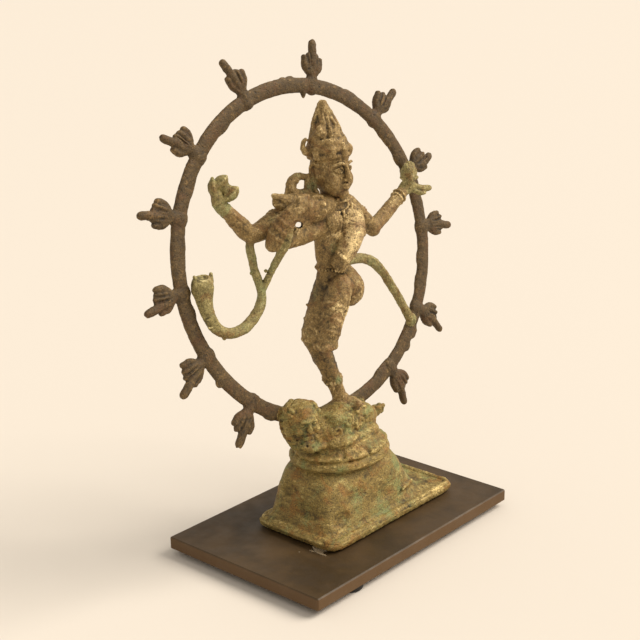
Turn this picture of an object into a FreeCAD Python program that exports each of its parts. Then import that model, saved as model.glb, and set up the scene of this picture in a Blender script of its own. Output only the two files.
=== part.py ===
"""Small brass Nataraja on a display board, in millimetres, +Z up.

The origin is the middle of the footprint, on the surface that the rubber feet stand on. The
figure faces -Y, and its own right hand is towards -X. The bronze is modelled the way its wax was
built up: each hand-made piece is a solid of its own, and neighbours meet face to face.
"""
import FreeCAD, Part
import Sketcher
import math
import os

Vec = FreeCAD.Vector

doc = FreeCAD.newDocument("nataraja")

# ---------------------------------------------------------------- driving dimensions
SIZES = {
    "board_width": 150, "board_depth": 96, "board_thickness": 6.35, "board_edge": 0.5,
    "foot_height": 3, "foot_radius": 6,
    "glue_height": 1, "glue_radius": 5,
    "flange_length": 97.5, "flange_depth": 51.5, "flange_thickness": 4, "flange_corner": 4,
    "bead_width": 1.3, "bead_inset": 1.1,
    "dome_height": 25.6, "dome_length": 42, "dome_depth": 22.5, "wall": 2.5,
    "skirt_length": 73, "skirt_depth": 46, "skirt_height": 18, "skirt_taper": 12, "skirt_corner": 9,
    "skirt_shoulder": 6,
    "lotus_length": 28.2, "lotus_depth": 23, "lotus_lower": 5.4, "lotus_upper": 7,
    "ring_radius": 80.2, "ring_width": 7.4, "ring_depth": 3.6, "ring_lean": 11.2, "ring_yaw": -5.2,
    "flame_length": 23, "flame_width": 6.2, "flame_depth": 2.9, "prong_radius": 1.9,
    "dwarf_girth": 9, "dwarf_head_radius": 9.6, "dwarf_limb": 3.6,
    "leg_girth": 7.2, "foot_girth": 3.3, "anklet_radius": 5.6, "cord_radius": 1.3,
    "hip_girth": 11.2, "belt_girth": 8.6, "torso_girth": 13, "neck_girth": 4.6,
    "head_width": 9.6, "head_depth": 10.4, "head_height": 13.2,
    "crown_girth": 10.2, "diadem_girth": 11.2, "ear_height": 5.4,
    "arm_girth": 5, "hand_girth": 4.4, "armlet_radius": 5.8,
    "drum_head": 4.2, "drum_waist": 2.1, "drum_length": 7.5, "bowl_radius": 3.9,
    "sash_radius": 2.1, "serpent_radius": 2.6, "lock_radius": 2.1,
}

sheet = doc.addObject("Spreadsheet::Sheet", "Sizes")
for row, (alias, value) in enumerate(SIZES.items(), start=1):
    sheet.set(f"A{row}", alias)
    sheet.set(f"B{row}", str(value))
    sheet.setAlias(f"B{row}", alias)
doc.recompute()


def size(alias):
    return float(getattr(sheet, alias))


BOARD_TOP = size("foot_height") + size("board_thickness")
PEDESTAL_FLOOR = BOARD_TOP + size("glue_height")
DOME_FOOT = PEDESTAL_FLOOR + size("flange_thickness")
DOME_TOP = DOME_FOOT + size("dome_height")
LOTUS_TOP = DOME_TOP + size("lotus_lower") + size("lotus_upper")

FLANGE_CENTRE = Vec(9.2, -1.8, 0)
SKIRT_CENTRE = Vec(-2.5, -1.2, 0)
DOME_CENTRE = Vec(1, 3, 0)
RING_CENTRE = Vec(1, 20.9, 142)

nodes = []


# ---------------------------------------------------------------- building helpers
def make(kind, name, placement=None, **sizes):
    """A document object whose named sizes are bound to spreadsheet expressions."""
    item = doc.addObject(kind, name)
    for prop, expression in sizes.items():
        item.setExpression(prop, expression)
    if placement is not None:
        item.Placement = placement
    return item


def frame_at(centre, normal, across):
    """A placement at centre whose Z is along normal and whose X is as near across as it can be."""
    z = Vec(normal)
    z.normalize()
    x = Vec(across) - z * across.dot(z)
    x.normalize()
    return FreeCAD.Placement(centre, FreeCAD.Rotation(x, z.cross(x), z, "ZXY"))


def loft(name, sections):
    item = doc.addObject("Part::Loft", name)
    item.Sections = sections
    item.Solid = True
    item.Ruled = False
    return item


def level_loft(name, rows, long_size, deep_size):
    """A loft through level ellipses: rows of (x, y, z, share of length, share of depth)."""
    sections = []
    for i, (x, y, z, long_share, deep_share) in enumerate(rows):
        here = FreeCAD.Placement(Vec(x, y, z), FreeCAD.Rotation())
        sections.append(make("Part::Ellipse", f"{name}_oval_{i}", here,
                             MajorRadius=f"Sizes.{long_size} * {long_share}",
                             MinorRadius=f"Sizes.{deep_size} * {deep_share}"))
    return loft(name, sections)


def limb(name, girth, rows, across=Vec(1, 0, 0)):
    """A loft along a bent line: rows of (x, y, z, wide share, thick share) of the girth.

    z counts from the board's top face, and the wide way of each oval lies along across.
    """
    points = [Vec(x, y, z + BOARD_TOP) for x, y, z, _, _ in rows]
    sections = []
    for i, (_, _, _, wide, thick) in enumerate(rows):
        along = points[min(i + 1, len(points) - 1)] - points[max(i - 1, 0)]
        sections.append(make("Part::Ellipse", f"{name}_oval_{i}", frame_at(points[i], along, across),
                             MajorRadius=f"Sizes.{girth} * {wide}",
                             MinorRadius=f"Sizes.{girth} * {thick}"))
    return loft(name, sections)


def egg(name, centre, x_half, y_half, z_half, turn=None):
    """An ellipsoid by its three half-sizes, which are spreadsheet expressions."""
    x, y, z = centre
    here = FreeCAD.Placement(Vec(x, y, z + BOARD_TOP), turn or FreeCAD.Rotation())
    return make("Part::Ellipsoid", name, here, Radius1=z_half, Radius2=x_half, Radius3=y_half)


def spike(name, foot, tip, foot_radius, tip_radius):
    """A cone from foot to tip, both counted from the board's top face."""
    start = Vec(foot[0], foot[1], foot[2] + BOARD_TOP)
    along = Vec(tip[0], tip[1], tip[2] + BOARD_TOP) - start
    item = make("Part::Cone", name, frame_at(start, along, Vec(1, 0.1, 0.3)),
                Radius1=foot_radius, Radius2=tip_radius)
    item.Height = along.Length
    return item


def hoop(name, centre, normal, hoop_radius, cord_radius):
    """A round cord bent into a full circle about normal."""
    x, y, z = centre
    here = frame_at(Vec(x, y, z + BOARD_TOP), Vec(*normal), Vec(0.3, 1, 0.2))
    return make("Part::Torus", name, here, Radius1=hoop_radius, Radius2=cord_radius)


def fuse(name, parts):
    item = doc.addObject("Part::MultiFuse", name)
    item.Shapes = parts
    return item


def group(name, parts):
    item = doc.addObject("Part::Compound", name)
    item.Links = parts
    return item


def node(label, raw, behind=()):
    """Finish a sub-part: take away the neighbours that it meets, and name it."""
    item = raw
    for i, neighbour in enumerate(behind):
        cut = doc.addObject("Part::Cut", f"{label}_cut_{i}")
        cut.Base = item
        cut.Tool = neighbour
        item = cut
    item.Label = label
    nodes.append(item)
    return item


# ---------------------------------------------------------------- the display board
def origin_plane(body, role):
    return next(f for f in body.Origin.OriginFeatures if f.Role == role)


def plate_sketch(body, name, length, depth, corner, height):
    """A centred rectangle with its length and depth bound to cells, on the body's XY plane."""
    sketch = body.newObject("Sketcher::SketchObject", name)
    sketch.AttachmentSupport = [(origin_plane(body, "XY_Plane"), "")]
    sketch.MapMode = "FlatFace"
    sketch.AttachmentOffset = FreeCAD.Placement(corner + Vec(0, 0, height), FreeCAD.Rotation())
    x, y = size(length) / 2, size(depth) / 2
    corners = [Vec(-x, -y, 0), Vec(x, -y, 0), Vec(x, y, 0), Vec(-x, y, 0)]
    for i in range(4):
        sketch.addGeometry(Part.LineSegment(corners[i], corners[(i + 1) % 4]), False)
    for i in range(4):
        sketch.addConstraint(Sketcher.Constraint("Coincident", i, 2, (i + 1) % 4, 1))
    for side, direction in ((0, "Horizontal"), (1, "Vertical"), (2, "Horizontal"), (3, "Vertical")):
        sketch.addConstraint(Sketcher.Constraint(direction, side))
    sketch.addConstraint(Sketcher.Constraint("Symmetric", 0, 1, 2, 1, -1, 1))
    across = sketch.addConstraint(Sketcher.Constraint("DistanceX", 0, 1, 0, 2, 2 * x))
    sketch.setExpression(f"Constraints[{across}]", f"Sizes.{length}")
    deep = sketch.addConstraint(Sketcher.Constraint("DistanceY", 1, 1, 1, 2, 2 * y))
    sketch.setExpression(f"Constraints[{deep}]", f"Sizes.{depth}")
    return sketch


def pad(body, sketch, name, thickness):
    item = body.newObject("PartDesign::Pad", name)
    item.Profile = sketch
    item.setExpression("Length", f"Sizes.{thickness}")
    doc.recompute()
    return item


def steepness(edge):
    return abs(edge.tangentAt(edge.FirstParameter).z)


def round_edges(body, feature, name, radius, chosen):
    """Fillet the edges of a feature that chosen() picks."""
    rounding = body.newObject("PartDesign::Fillet", name)
    rounding.Base = (feature, [f"Edge{i + 1}" for i, edge in enumerate(feature.Shape.Edges) if chosen(edge)])
    rounding.setExpression("Radius", f"Sizes.{radius}")
    body.Tip = rounding
    doc.recompute()
    return rounding


board = doc.addObject("PartDesign::Body", "display_board_body")
outline = plate_sketch(board, "board_outline", "board_width", "board_depth", Vec(),
                       size("foot_height"))
slab = pad(board, outline, "board_slab", "board_thickness")
bevel = board.newObject("PartDesign::Chamfer", "board_bevel")
bevel.Base = (slab, [f"Edge{i + 1}" for i in range(len(slab.Shape.Edges))])
bevel.setExpression("Size", "Sizes.board_edge")
board.Tip = bevel
node("display_board", board)

# The feet were stuck on by eye, so only the front left one shows under the board's edge.
FEET = [(-44, -41), (45, -35), (-44, 37), (45, 37)]
feet = []
for i, (x, y) in enumerate(FEET):
    here = FreeCAD.Placement(Vec(x, y, 0), FreeCAD.Rotation())
    feet.append(make("Part::Cylinder", f"foot_{i}", here,
                     Radius="Sizes.foot_radius", Height="Sizes.foot_height"))
node("rubber_feet", group("feet", feet))

# Clear glue between the bronze and the board. The first dab has squeezed out past the flange.
GLUE_DABS = [(-40, -17), (48, -20), (-32, 17), (48, 16)]
dabs = []
for i, (x, y) in enumerate(GLUE_DABS):
    here = FreeCAD.Placement(Vec(x, y, BOARD_TOP), FreeCAD.Rotation())
    dabs.append(make("Part::Cylinder", f"dab_{i}", here,
                     Radius="Sizes.glue_radius", Height="Sizes.glue_height"))
node("adhesive_dabs", group("dabs", dabs))

# ---------------------------------------------------------------- the pedestal
flange = doc.addObject("PartDesign::Body", "flange_body")
outline = plate_sketch(flange, "flange_outline", "flange_length", "flange_depth", Vec(), 0)
plate = pad(flange, outline, "flange_plate", "flange_thickness")
round_edges(flange, plate, "flange_rounding", "flange_corner", lambda edge: steepness(edge) > 0.9)
flange.Placement = FreeCAD.Placement(FLANGE_CENTRE + Vec(0, 0, PEDESTAL_FLOOR), FreeCAD.Rotation())

# A four-cornered skirt fills out the foot of the dome towards the flange's left end.
skirt = doc.addObject("PartDesign::Body", "skirt_body")
outline = plate_sketch(skirt, "skirt_outline", "skirt_length", "skirt_depth", Vec(), 0)
block = pad(skirt, outline, "skirt_block", "skirt_height")
block.setExpression("TaperAngle", "-Sizes.skirt_taper")
doc.recompute()
rounded = round_edges(skirt, block, "skirt_corners", "skirt_corner", lambda edge: steepness(edge) > 0.9)
round_edges(skirt, rounded, "skirt_shoulder", "skirt_shoulder",
            lambda edge: edge.BoundBox.ZMin > size("skirt_height") - 0.01)
skirt.Placement = FreeCAD.Placement(SKIRT_CENTRE + Vec(0, 0, DOME_FOOT), FreeCAD.Rotation())

# The dome flares at its foot and rounds in at its shoulder: (height share, length, depth).
DOME_PROFILE = [(0, 1, 1), (0.1, 0.93, 0.97), (0.33, 0.86, 0.97), (0.62, 0.82, 0.99),
                (0.86, 0.755, 0.985), (1, 0.67, 0.93)]
DOME_FOOT_SHIFT = Vec(5.5, -3.9, 0)


def dome_rows(shrink, low, high):
    """Level ovals of the dome, drawn in by shrink, between two heights."""
    rows = []
    for share, long_share, deep_share in DOME_PROFILE:
        centre = DOME_CENTRE + DOME_FOOT_SHIFT * (1 - share) ** 1.5
        rows.append((centre.x, centre.y, low + (high - low) * share,
                     long_share - shrink / size("dome_length"),
                     deep_share - shrink / size("dome_depth")))
    return rows


dome = level_loft("dome", dome_rows(0, DOME_FOOT, DOME_TOP), "dome_length", "dome_depth")
hollow = level_loft("hollow", dome_rows(size("wall"), PEDESTAL_FLOOR, DOME_TOP - size("wall")),
                    "dome_length", "dome_depth")
pedestal = node("pedestal", fuse("pedestal_solid", [flange, dome, skirt]), [hollow])


def bead_box(name, inset, height):
    """A box over the flange, drawn in from its edges by inset."""
    corner = FLANGE_CENTRE - Vec(size("flange_length") / 2 - inset, size("flange_depth") / 2 - inset, 0)
    item = doc.addObject("Part::Box", name)
    item.Placement = FreeCAD.Placement(corner + Vec(0, 0, DOME_FOOT), FreeCAD.Rotation())
    item.setExpression("Length", f"Sizes.flange_length - {2 * inset}")
    item.setExpression("Width", f"Sizes.flange_depth - {2 * inset}")
    item.setExpression("Height", f"{height}")
    return item


bead_outer = bead_box("bead_outer", size("bead_inset"), size("bead_width"))
bead_inner = bead_box("bead_inner", size("bead_inset") + size("bead_width"), 2 * size("bead_width"))
node("pedestal_edge_bead", bead_outer, [bead_inner, pedestal])


def lotus_disc(name, bottom, thick, swelling):
    """A disc whose outline follows swelling: rows of (height share, size share)."""
    rows = [(DOME_CENTRE.x, DOME_CENTRE.y, bottom + thick * height, swell, swell)
            for height, swell in swelling]
    return level_loft(name, rows, "lotus_length", "lotus_depth")


lotus_lower = node("lotus_lower_ring", lotus_disc("lotus_lower", DOME_TOP, size("lotus_lower"), [
    (0, 0.93), (0.25, 0.99), (0.5, 1), (0.75, 0.98), (1, 0.92)]))
lotus_upper = node("lotus_upper_ring", lotus_disc(
    "lotus_upper", DOME_TOP + size("lotus_lower"), size("lotus_upper"), [
        (0, 0.86), (0.2, 0.92), (0.4, 0.89), (0.7, 0.79), (1, 0.72)]))

# ---------------------------------------------------------------- the ring of flames
ring_place = FreeCAD.Placement(RING_CENTRE, FreeCAD.Rotation(Vec(0, 0, 1), size("ring_yaw"))
                               * FreeCAD.Rotation(Vec(1, 0, 0), -size("ring_lean")))
ring_across = ring_place.Rotation.multVec(Vec(1, 0, 0))
ring_up = ring_place.Rotation.multVec(Vec(0, 0, 1))
ring_front = ring_place.Rotation.multVec(Vec(0, -1, 0))

section = make("Part::Ellipse", "ring_section",
               FreeCAD.Placement(Vec(size("ring_radius"), 0, 0), FreeCAD.Rotation()),
               MajorRadius="Sizes.ring_width / 2", MinorRadius="Sizes.ring_depth / 2")
turned_ring = doc.addObject("Part::Revolution", "turned_ring")
turned_ring.Source = section
turned_ring.Axis = Vec(0, 1, 0)
turned_ring.Base = Vec(0, 0, 0)
turned_ring.Angle = 360
turned_ring.Solid = True
turned_ring.Placement = ring_place
ring = node("aureole_ring", turned_ring)

# (degrees from the top of the ring towards the figure's left, sideways lean of the tip in mm)
FLAMES = [(12, 0), (44, 1.5), (69, -1), (91, 2), (122, 3), (148, 3.5),
          (-19, -2), (-47, -2.5), (-69, -2), (-93, -1.5), (-116, -2.5), (-141, -1)]
# (share of the length, wide share, thick share, share of the lean)
FLAME_PROFILE = [(0.08, 0.42, 0.62, 0), (0.3, 0.45, 0.7, 0), (0.52, 1, 1, 0.1), (0.7, 0.9, 0.85, 0.3),
                 (0.84, 0.42, 0.6, 0.7), (1, 0.24, 0.4, 1)]


def flame(number, degrees, lean):
    """One flame in the ring's plane: a necked bud with a long tongue and two short side tongues."""
    turn = math.radians(degrees)
    out = ring_across * math.sin(turn) + ring_up * math.cos(turn)
    side = ring_across * math.cos(turn) - ring_up * math.sin(turn)
    foot = RING_CENTRE + out * size("ring_radius")
    length = size("flame_length")
    sections = []
    for i, (reach, wide, thick, shift) in enumerate(FLAME_PROFILE):
        centre = foot + out * (length * reach) + side * (lean * shift)
        sections.append(make("Part::Ellipse", f"flame_{number}_oval_{i}", frame_at(centre, out, side),
                             MajorRadius=f"Sizes.flame_width * {wide}",
                             MinorRadius=f"Sizes.flame_depth * {thick}"))
    parts = [loft(f"flame_{number}_bud", sections)]
    for hand in (-1, 1):
        start = foot + out * (0.5 * length) + side * (hand * 3.2)
        along = out * (0.34 * length) + side * (hand * 2.4)
        prong = make("Part::Cone", f"flame_{number}_prong", frame_at(start, along, ring_front),
                     Radius1="Sizes.prong_radius", Radius2="Sizes.prong_radius * 0.3")
        prong.Height = along.Length
        parts.append(prong)
    return fuse(f"flame_{number}_solid", parts)


for number, (degrees, lean) in enumerate(FLAMES, start=1):
    node(f"flame_{number:02d}", flame(number, degrees, lean), [ring])

# ---------------------------------------------------------------- the dwarf under the foot
DWARF_BODY = [(-20, 3, 49, 0.8, 0.75), (-11, 2, 50.5, 1, 0.92), (2, 1, 50.5, 1, 0.92),
              (13, 0, 49, 0.9, 0.8), (20, 0, 47.5, 0.62, 0.55)]
dwarf_body = node("dwarf_body", limb("dwarf_trunk", "dwarf_girth", DWARF_BODY, Vec(0, 1, 0.2)),
                  [lotus_upper, ring])
dwarf_head = node("dwarf_head", egg("dwarf_skull", (-28, 3, 59), "Sizes.dwarf_head_radius",
                                    "Sizes.dwarf_head_radius", "Sizes.dwarf_head_radius * 1.04"),
                  [ring, dwarf_body])
HAIR = [(-30, 8, 55, 0.9, 0.8), (-32, 4, 50, 1.25, 1.1), (-27, 1, 45.5, 1.2, 1.1), (-19, -2, 44.5, 0.9, 0.7)]
node("dwarf_hair", limb("dwarf_mane", "dwarf_limb", HAIR, Vec(0, 1, 0)),
     [ring, lotus_upper, lotus_lower, dwarf_body, dwarf_head])
DWARF_LEG = [(14, 1, 47.5, 1.2, 1.1), (21, 1, 46.4, 1.1, 1), (26, 1, 46, 0.85, 0.8), (31.5, 1, 46.6, 0.8, 0.75)]
node("dwarf_leg", limb("dwarf_shin", "dwarf_limb", DWARF_LEG, Vec(0, 1, 0)),
     [lotus_upper, ring, dwarf_body])

# ---------------------------------------------------------------- the body
torso = node("torso", limb("trunk", "torso_girth", [
    (1, 7.4, 129, 0.53, 0.43), (1.5, 8, 137, 0.62, 0.46), (4.5, 8.8, 146, 0.92, 0.55),
    (5, 9.4, 152, 1.03, 0.58), (5, 9.8, 157, 0.88, 0.46), (4.6, 10, 160.5, 0.38, 0.34)]))
hips = node("hips", limb("pelvis", "hip_girth", [
    (3, 6.6, 113, 0.72, 0.55), (2.5, 6.8, 120, 1, 0.68), (1.2, 7.2, 126.5, 0.7, 0.56)]))
belt = node("waist_belt", limb("belt", "belt_girth", [
    (1.2, 7.2, 126.5, 0.95, 0.78), (1.1, 7.3, 127.75, 1, 0.82), (1, 7.4, 129, 0.95, 0.78)]))

standing_leg = node("standing_leg", limb("leg_right", "leg_girth", [
    (0.4, 7, 119.5, 0.86, 0.84), (-6.5, 6.2, 111, 1, 0.95), (-15, 5.4, 97.5, 0.8, 0.78),
    (-10.5, 4.6, 88, 0.74, 0.72), (-5, 2.6, 74, 0.6, 0.58), (-1.5, 0.8, 63.5, 0.45, 0.45)]), [hips])
foot_turn = FreeCAD.Rotation(Vec(0, 0, 1), 12)
node("standing_foot", egg("sole_right", (1.2, -3, 60.6), "Sizes.foot_girth", "Sizes.foot_girth * 2.3",
                          "Sizes.foot_girth * 0.85", foot_turn), [dwarf_body, standing_leg, ring])
thigh = limb("thigh_left", "leg_girth", [
    (8.5, 7, 121.5, 0.9, 0.88), (6.6, 3, 120, 0.94, 0.9), (4.5, -1, 118.4, 0.9, 0.86)])
knee = egg("knee_left", (4.2, -1.4, 117.6), "Sizes.leg_girth", "Sizes.leg_girth * 0.96",
           "Sizes.leg_girth * 1.2")
shin = limb("shin_left", "leg_girth", [
    (-2, -2, 121, 0.74, 0.7), (-6.6, -2.2, 114.5, 0.76, 0.72), (-11, -2.6, 104.4, 0.72, 0.68),
    (-15, -2.9, 96, 0.62, 0.6)])
raised_leg = node("raised_leg", fuse("leg_left", [thigh, knee, shin]), [hips, standing_leg])
node("raised_foot", egg("sole_left", (-16.2, -3, 94.4), "Sizes.foot_girth * 1.3",
                        "Sizes.foot_girth * 1.4", "Sizes.foot_girth * 0.85", foot_turn),
     [standing_leg, raised_leg])
node("anklet", hoop("ankle_cord", (-4.6, 2.4, 73), (3.6, 1.8, -10), "Sizes.anklet_radius * 0.78",
                    "Sizes.cord_radius"), [standing_leg])

# ---------------------------------------------------------------- the head and its ornaments
skull = egg("skull", (4, 10.6, 174), "Sizes.head_width", "Sizes.head_depth", "Sizes.head_height")
throat = limb("throat", "neck_girth", [(4.6, 10.2, 158, 1, 0.95), (4.4, 10.4, 162, 0.95, 0.9),
                                       (4.2, 10.8, 168, 1, 1)])
head = node("head", fuse("head_solid", [skull, throat]), [torso])
diadem = node("diadem", limb("diadem_band", "diadem_girth", [
    (4.3, 11, 180, 0.94, 0.93), (4.4, 11.4, 182.8, 1, 1), (4.5, 11.8, 185.6, 0.93, 0.93)]), [head])
crown = node("crown", limb("matted_hair", "crown_girth", [
    (4.5, 11.8, 185.6, 0.95, 0.95), (4.6, 12.5, 190, 0.82, 0.82), (4.7, 13.3, 195, 0.68, 0.68),
    (4.7, 14.2, 200.5, 0.48, 0.48), (4.7, 15, 206, 0.14, 0.14)]), [head])
node("crown_hook", hoop("hook_curl", (-6.5, 15.5, 185.5), (0.3, -1, 0.1), "Sizes.lock_radius * 1.3",
                        "Sizes.lock_radius * 0.6"), [crown, diadem])
ears = []
for side, label in ((-1, "right_ear"), (1, "left_ear")):
    x = 4 + side * 9.6
    lobe = limb(f"{label}_lobe", "ear_height", [
        (x, 12, 178.2, 0.3, 0.2), (x, 12, 175, 0.52, 0.36), (x, 12, 170.2, 0.5, 0.36), (x, 12, 166, 0.32, 0.24)],
        Vec(0, 1, 0))
    ears.append(node(label, lobe, [head]))
node("right_earring", hoop("right_drop", (-5.8, 12, 164), (1, 0, 0), "Sizes.lock_radius",
                           "Sizes.lock_radius * 0.6"), [torso, head, ears[0]])
node("necklace", hoop("neck_cord", (4.6, 9.4, 158.6), (0, 0.3, 1), "Sizes.neck_girth * 1.5",
                      "Sizes.cord_radius"), [torso, head])

# ---------------------------------------------------------------- the four arms
rear_right = node("rear_right_arm", limb("arm_rear_right", "arm_girth", [
    (-5, 11, 156, 1.05, 1), (-16, 14.5, 155.6, 1.12, 1.04), (-27.5, 18.8, 152.4, 1, 0.94),
    (-37, 22.4, 148.6, 0.88, 0.86), (-44.4, 24.6, 154.8, 0.78, 0.76), (-51.4, 27, 162.6, 0.62, 0.6)],
    Vec(0, 1, 0)), [torso])
palm = egg("palm_rear_right", (-54.5, 28.6, 167.5), "Sizes.hand_girth * 0.75",
           "Sizes.hand_girth * 0.75", "Sizes.hand_girth * 1.35")
finger = spike("finger_rear_right", (-55, 29.6, 170), (-54.5, 31, 177),
               "Sizes.hand_girth * 0.4", "Sizes.hand_girth * 0.28")
rear_right_hand = node("rear_right_hand", fuse("hand_rear_right", [palm, finger]), [rear_right])
drum_axis = Vec(0.25, -0.95, -0.15)
drum_middle = Vec(-48.5, 27.5, 171.5 + BOARD_TOP)
drum_sections = []
for i, (share, radius) in enumerate([(-0.5, "drum_head"), (0, "drum_waist"), (0.5, "drum_head")]):
    place = frame_at(drum_middle + drum_axis * (share * size("drum_length")), drum_axis, Vec(1, 0, 0))
    drum_sections.append(make("Part::Ellipse", f"drum_oval_{i}", place, MajorRadius=f"Sizes.{radius}",
                              MinorRadius=f"Sizes.{radius} * 0.98"))
node("hand_drum", loft("drum", drum_sections), [rear_right, rear_right_hand])
node("armlet", hoop("armlet_cord", (-25, 17.9, 153.2), (-11, 4.2, -3.2), "Sizes.armlet_radius",
                    "Sizes.cord_radius"), [rear_right, torso])

upper = limb("upper_arm_front_right", "arm_girth", [
    (-3, 9, 148.4, 1, 0.94), (-14, 10, 146.2, 0.92, 0.88), (-24, 11.4, 145.6, 0.88, 0.84),
    (-34, 13.2, 146, 0.84, 0.8)], Vec(0, 1, 0))
lower = limb("forearm_front_right", "arm_girth", [
    (-34, 13, 145, 0.8, 0.76), (-31, 10.2, 152.4, 0.84, 0.8), (-25.4, 6.6, 159.6, 0.72, 0.66)],
    Vec(0, 1, 0.3))
front_right = node("front_right_arm", fuse("arm_front_right", [upper, lower]), [torso, rear_right])
node("front_right_hand", egg("palm_front_right", (-20.6, 5, 162.4), "Sizes.hand_girth",
                             "Sizes.hand_girth * 0.7", "Sizes.hand_girth * 1.3"), [front_right])
upper = limb("upper_arm_front_left", "arm_girth", [
    (18.4, 9.6, 151.4, 1, 0.98), (16, 6, 149, 1.02, 1), (13, 2.4, 146, 0.98, 0.96)])
lower = limb("forearm_front_left", "arm_girth", [
    (14.6, 3.4, 147.4, 0.92, 0.9), (7.6, 0, 142.4, 1.04, 1), (1.4, -1.2, 136.8, 0.94, 0.9),
    (-2.6, -0.2, 131.4, 0.74, 0.7)])
front_left = node("front_left_arm", fuse("arm_front_left", [upper, lower]), [torso])
upper = limb("upper_arm_rear_left", "arm_girth", [
    (16, 11, 155.5, 0.96, 0.92), (27, 11.2, 147.5, 0.88, 0.84), (37.5, 11.4, 138.8, 0.78, 0.74)],
    Vec(0, 1, 0))
lower = limb("forearm_rear_left", "arm_girth", [
    (35.5, 11.2, 138.6, 0.76, 0.74), (50, 12.6, 144.5, 0.7, 0.68), (66, 14.6, 151.8, 0.62, 0.6)],
    Vec(0, 1, 0))
rear_left = node("rear_left_arm", fuse("arm_rear_left", [upper, lower]), [torso, front_left])
palm = egg("palm_rear_left", (70.5, 14.5, 154), "Sizes.hand_girth * 1.1", "Sizes.hand_girth * 0.7",
           "Sizes.hand_girth * 0.75")
finger = spike("finger_rear_left", (73, 12.5, 153.8), (81.5, 7.5, 152), "Sizes.hand_girth * 0.48",
               "Sizes.hand_girth * 0.3")
rear_left_hand = node("rear_left_hand", fuse("hand_rear_left", [palm, finger]), [ring, rear_left])
node("flame_bowl", egg("fire_cup", (73, 16, 160.5), "Sizes.bowl_radius", "Sizes.bowl_radius",
                       "Sizes.bowl_radius * 1.1"), [ring, rear_left_hand])

# ---------------------------------------------------------------- locks, sash and serpent
node("hair_lock", hoop("lock_curl", (-11.6, 17, 169), (0.5, -1, 0.2), "Sizes.lock_radius * 1.7",
                       "Sizes.lock_radius"), [head, torso, rear_right, ears[0]])
node("shoulder_tassel", spike("tassel", (-14, 15, 160), (-28.6, 16.2, 166.4), "Sizes.lock_radius * 2",
                              "Sizes.lock_radius * 0.5"), [rear_right])

node("sash", limb("sash_rod", "sash_radius", [
    (7, 7.6, 128.5, 1, 0.98), (20, 7.4, 129.6, 1, 0.98), (31, 7.6, 126.6, 1, 0.98),
    (41, 8, 119, 1, 0.98), (50, 6.5, 105, 1, 0.98), (56.5, 5.2, 93.5, 0.95, 0.9),
    (60.8, 4.6, 86.5, 0.9, 0.85)], Vec(0, 1, 0)), [ring, torso, hips, belt])

strand = limb("serpent_body", "serpent_radius", [
    (-39.5, 22.6, 143, 0.7, 0.68), (-39, 20.5, 133, 0.74, 0.7), (-37.2, 18, 121.5, 0.8, 0.78),
    (-43.5, 16.6, 111.5, 1, 0.96), (-51, 16.4, 107, 1, 0.96), (-60, 17, 107, 0.98, 0.94),
    (-68, 19, 112.5, 1.05, 0.98), (-70.5, 21, 121.5, 1.4, 1.1), (-69.8, 23, 130.5, 2.2, 1.55),
    (-70.2, 23.2, 135, 2.5, 1.6)])
branch = limb("serpent_tail", "serpent_radius", [
    (-29, 7, 150, 0.6, 0.58), (-30.4, 9.6, 143, 0.62, 0.6), (-31.6, 14.5, 134, 0.62, 0.6),
    (-36, 17.4, 123.5, 0.66, 0.6)])
node("serpent", fuse("serpent_solid", [strand, branch]), [ring, rear_right, front_right])

# ---------------------------------------------------------------- check and write
doc.recompute()
failed = [item.Name for item in doc.Objects if {"Invalid", "Error"} & set(item.State)]
assert not failed, f"these objects failed: {failed}"
for item in nodes:
    shape = item.Shape
    assert not shape.isNull() and shape.isValid(), f"{item.Label} isn't a valid solid"

os.makedirs("parts", exist_ok=True)
for item in nodes:
    item.Shape.exportStep(f"parts/{item.Label}.step")
    print(f"{item.Label:20s} solids {len(item.Shape.Solids)} volume {item.Shape.Volume:9.1f} mm3")
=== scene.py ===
"""The looks of the brass Nataraja on its display board.

Every piece of the casting is sculpted as clay: a list of strokes (rods, eggs, cords and plates
that are added or cut) on a grid of distances, which is meshed, weathered and given its patina.
Lengths are millimetres, x and y are the frame's own, and z counts from the board's top face.
"""
import itertools
import math
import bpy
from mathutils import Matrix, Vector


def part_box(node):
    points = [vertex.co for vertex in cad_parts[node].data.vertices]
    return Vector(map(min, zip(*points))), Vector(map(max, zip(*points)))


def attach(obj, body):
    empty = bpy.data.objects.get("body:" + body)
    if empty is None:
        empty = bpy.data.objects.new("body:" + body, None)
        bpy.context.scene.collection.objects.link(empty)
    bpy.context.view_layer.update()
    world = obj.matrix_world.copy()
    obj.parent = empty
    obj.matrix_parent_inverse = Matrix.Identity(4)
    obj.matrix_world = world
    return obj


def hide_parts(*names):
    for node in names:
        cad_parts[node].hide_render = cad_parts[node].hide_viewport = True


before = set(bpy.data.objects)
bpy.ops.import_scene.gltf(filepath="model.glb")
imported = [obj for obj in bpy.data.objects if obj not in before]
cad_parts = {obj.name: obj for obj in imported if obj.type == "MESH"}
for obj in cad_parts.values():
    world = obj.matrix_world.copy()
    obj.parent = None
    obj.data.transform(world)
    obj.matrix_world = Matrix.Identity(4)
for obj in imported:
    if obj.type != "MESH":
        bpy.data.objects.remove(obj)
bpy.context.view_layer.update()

from concurrent.futures import ThreadPoolExecutor

import bmesh
import bpy
import numpy as np
import openvdb
from mathutils import Matrix, Vector

MM = 0.001
SMALL, TINY = 1e-6, 1e-9     # these keep divisions away from zero
BOARD_LOW, BOARD_HIGH = (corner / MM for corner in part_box("display_board"))
BOARD_TOP = BOARD_HIGH.z


# ---- small vector helpers
def vec(*values):
    return np.array(values, float)


def unit(v):
    v = np.asarray(v, float)
    return v / np.linalg.norm(v)


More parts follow.
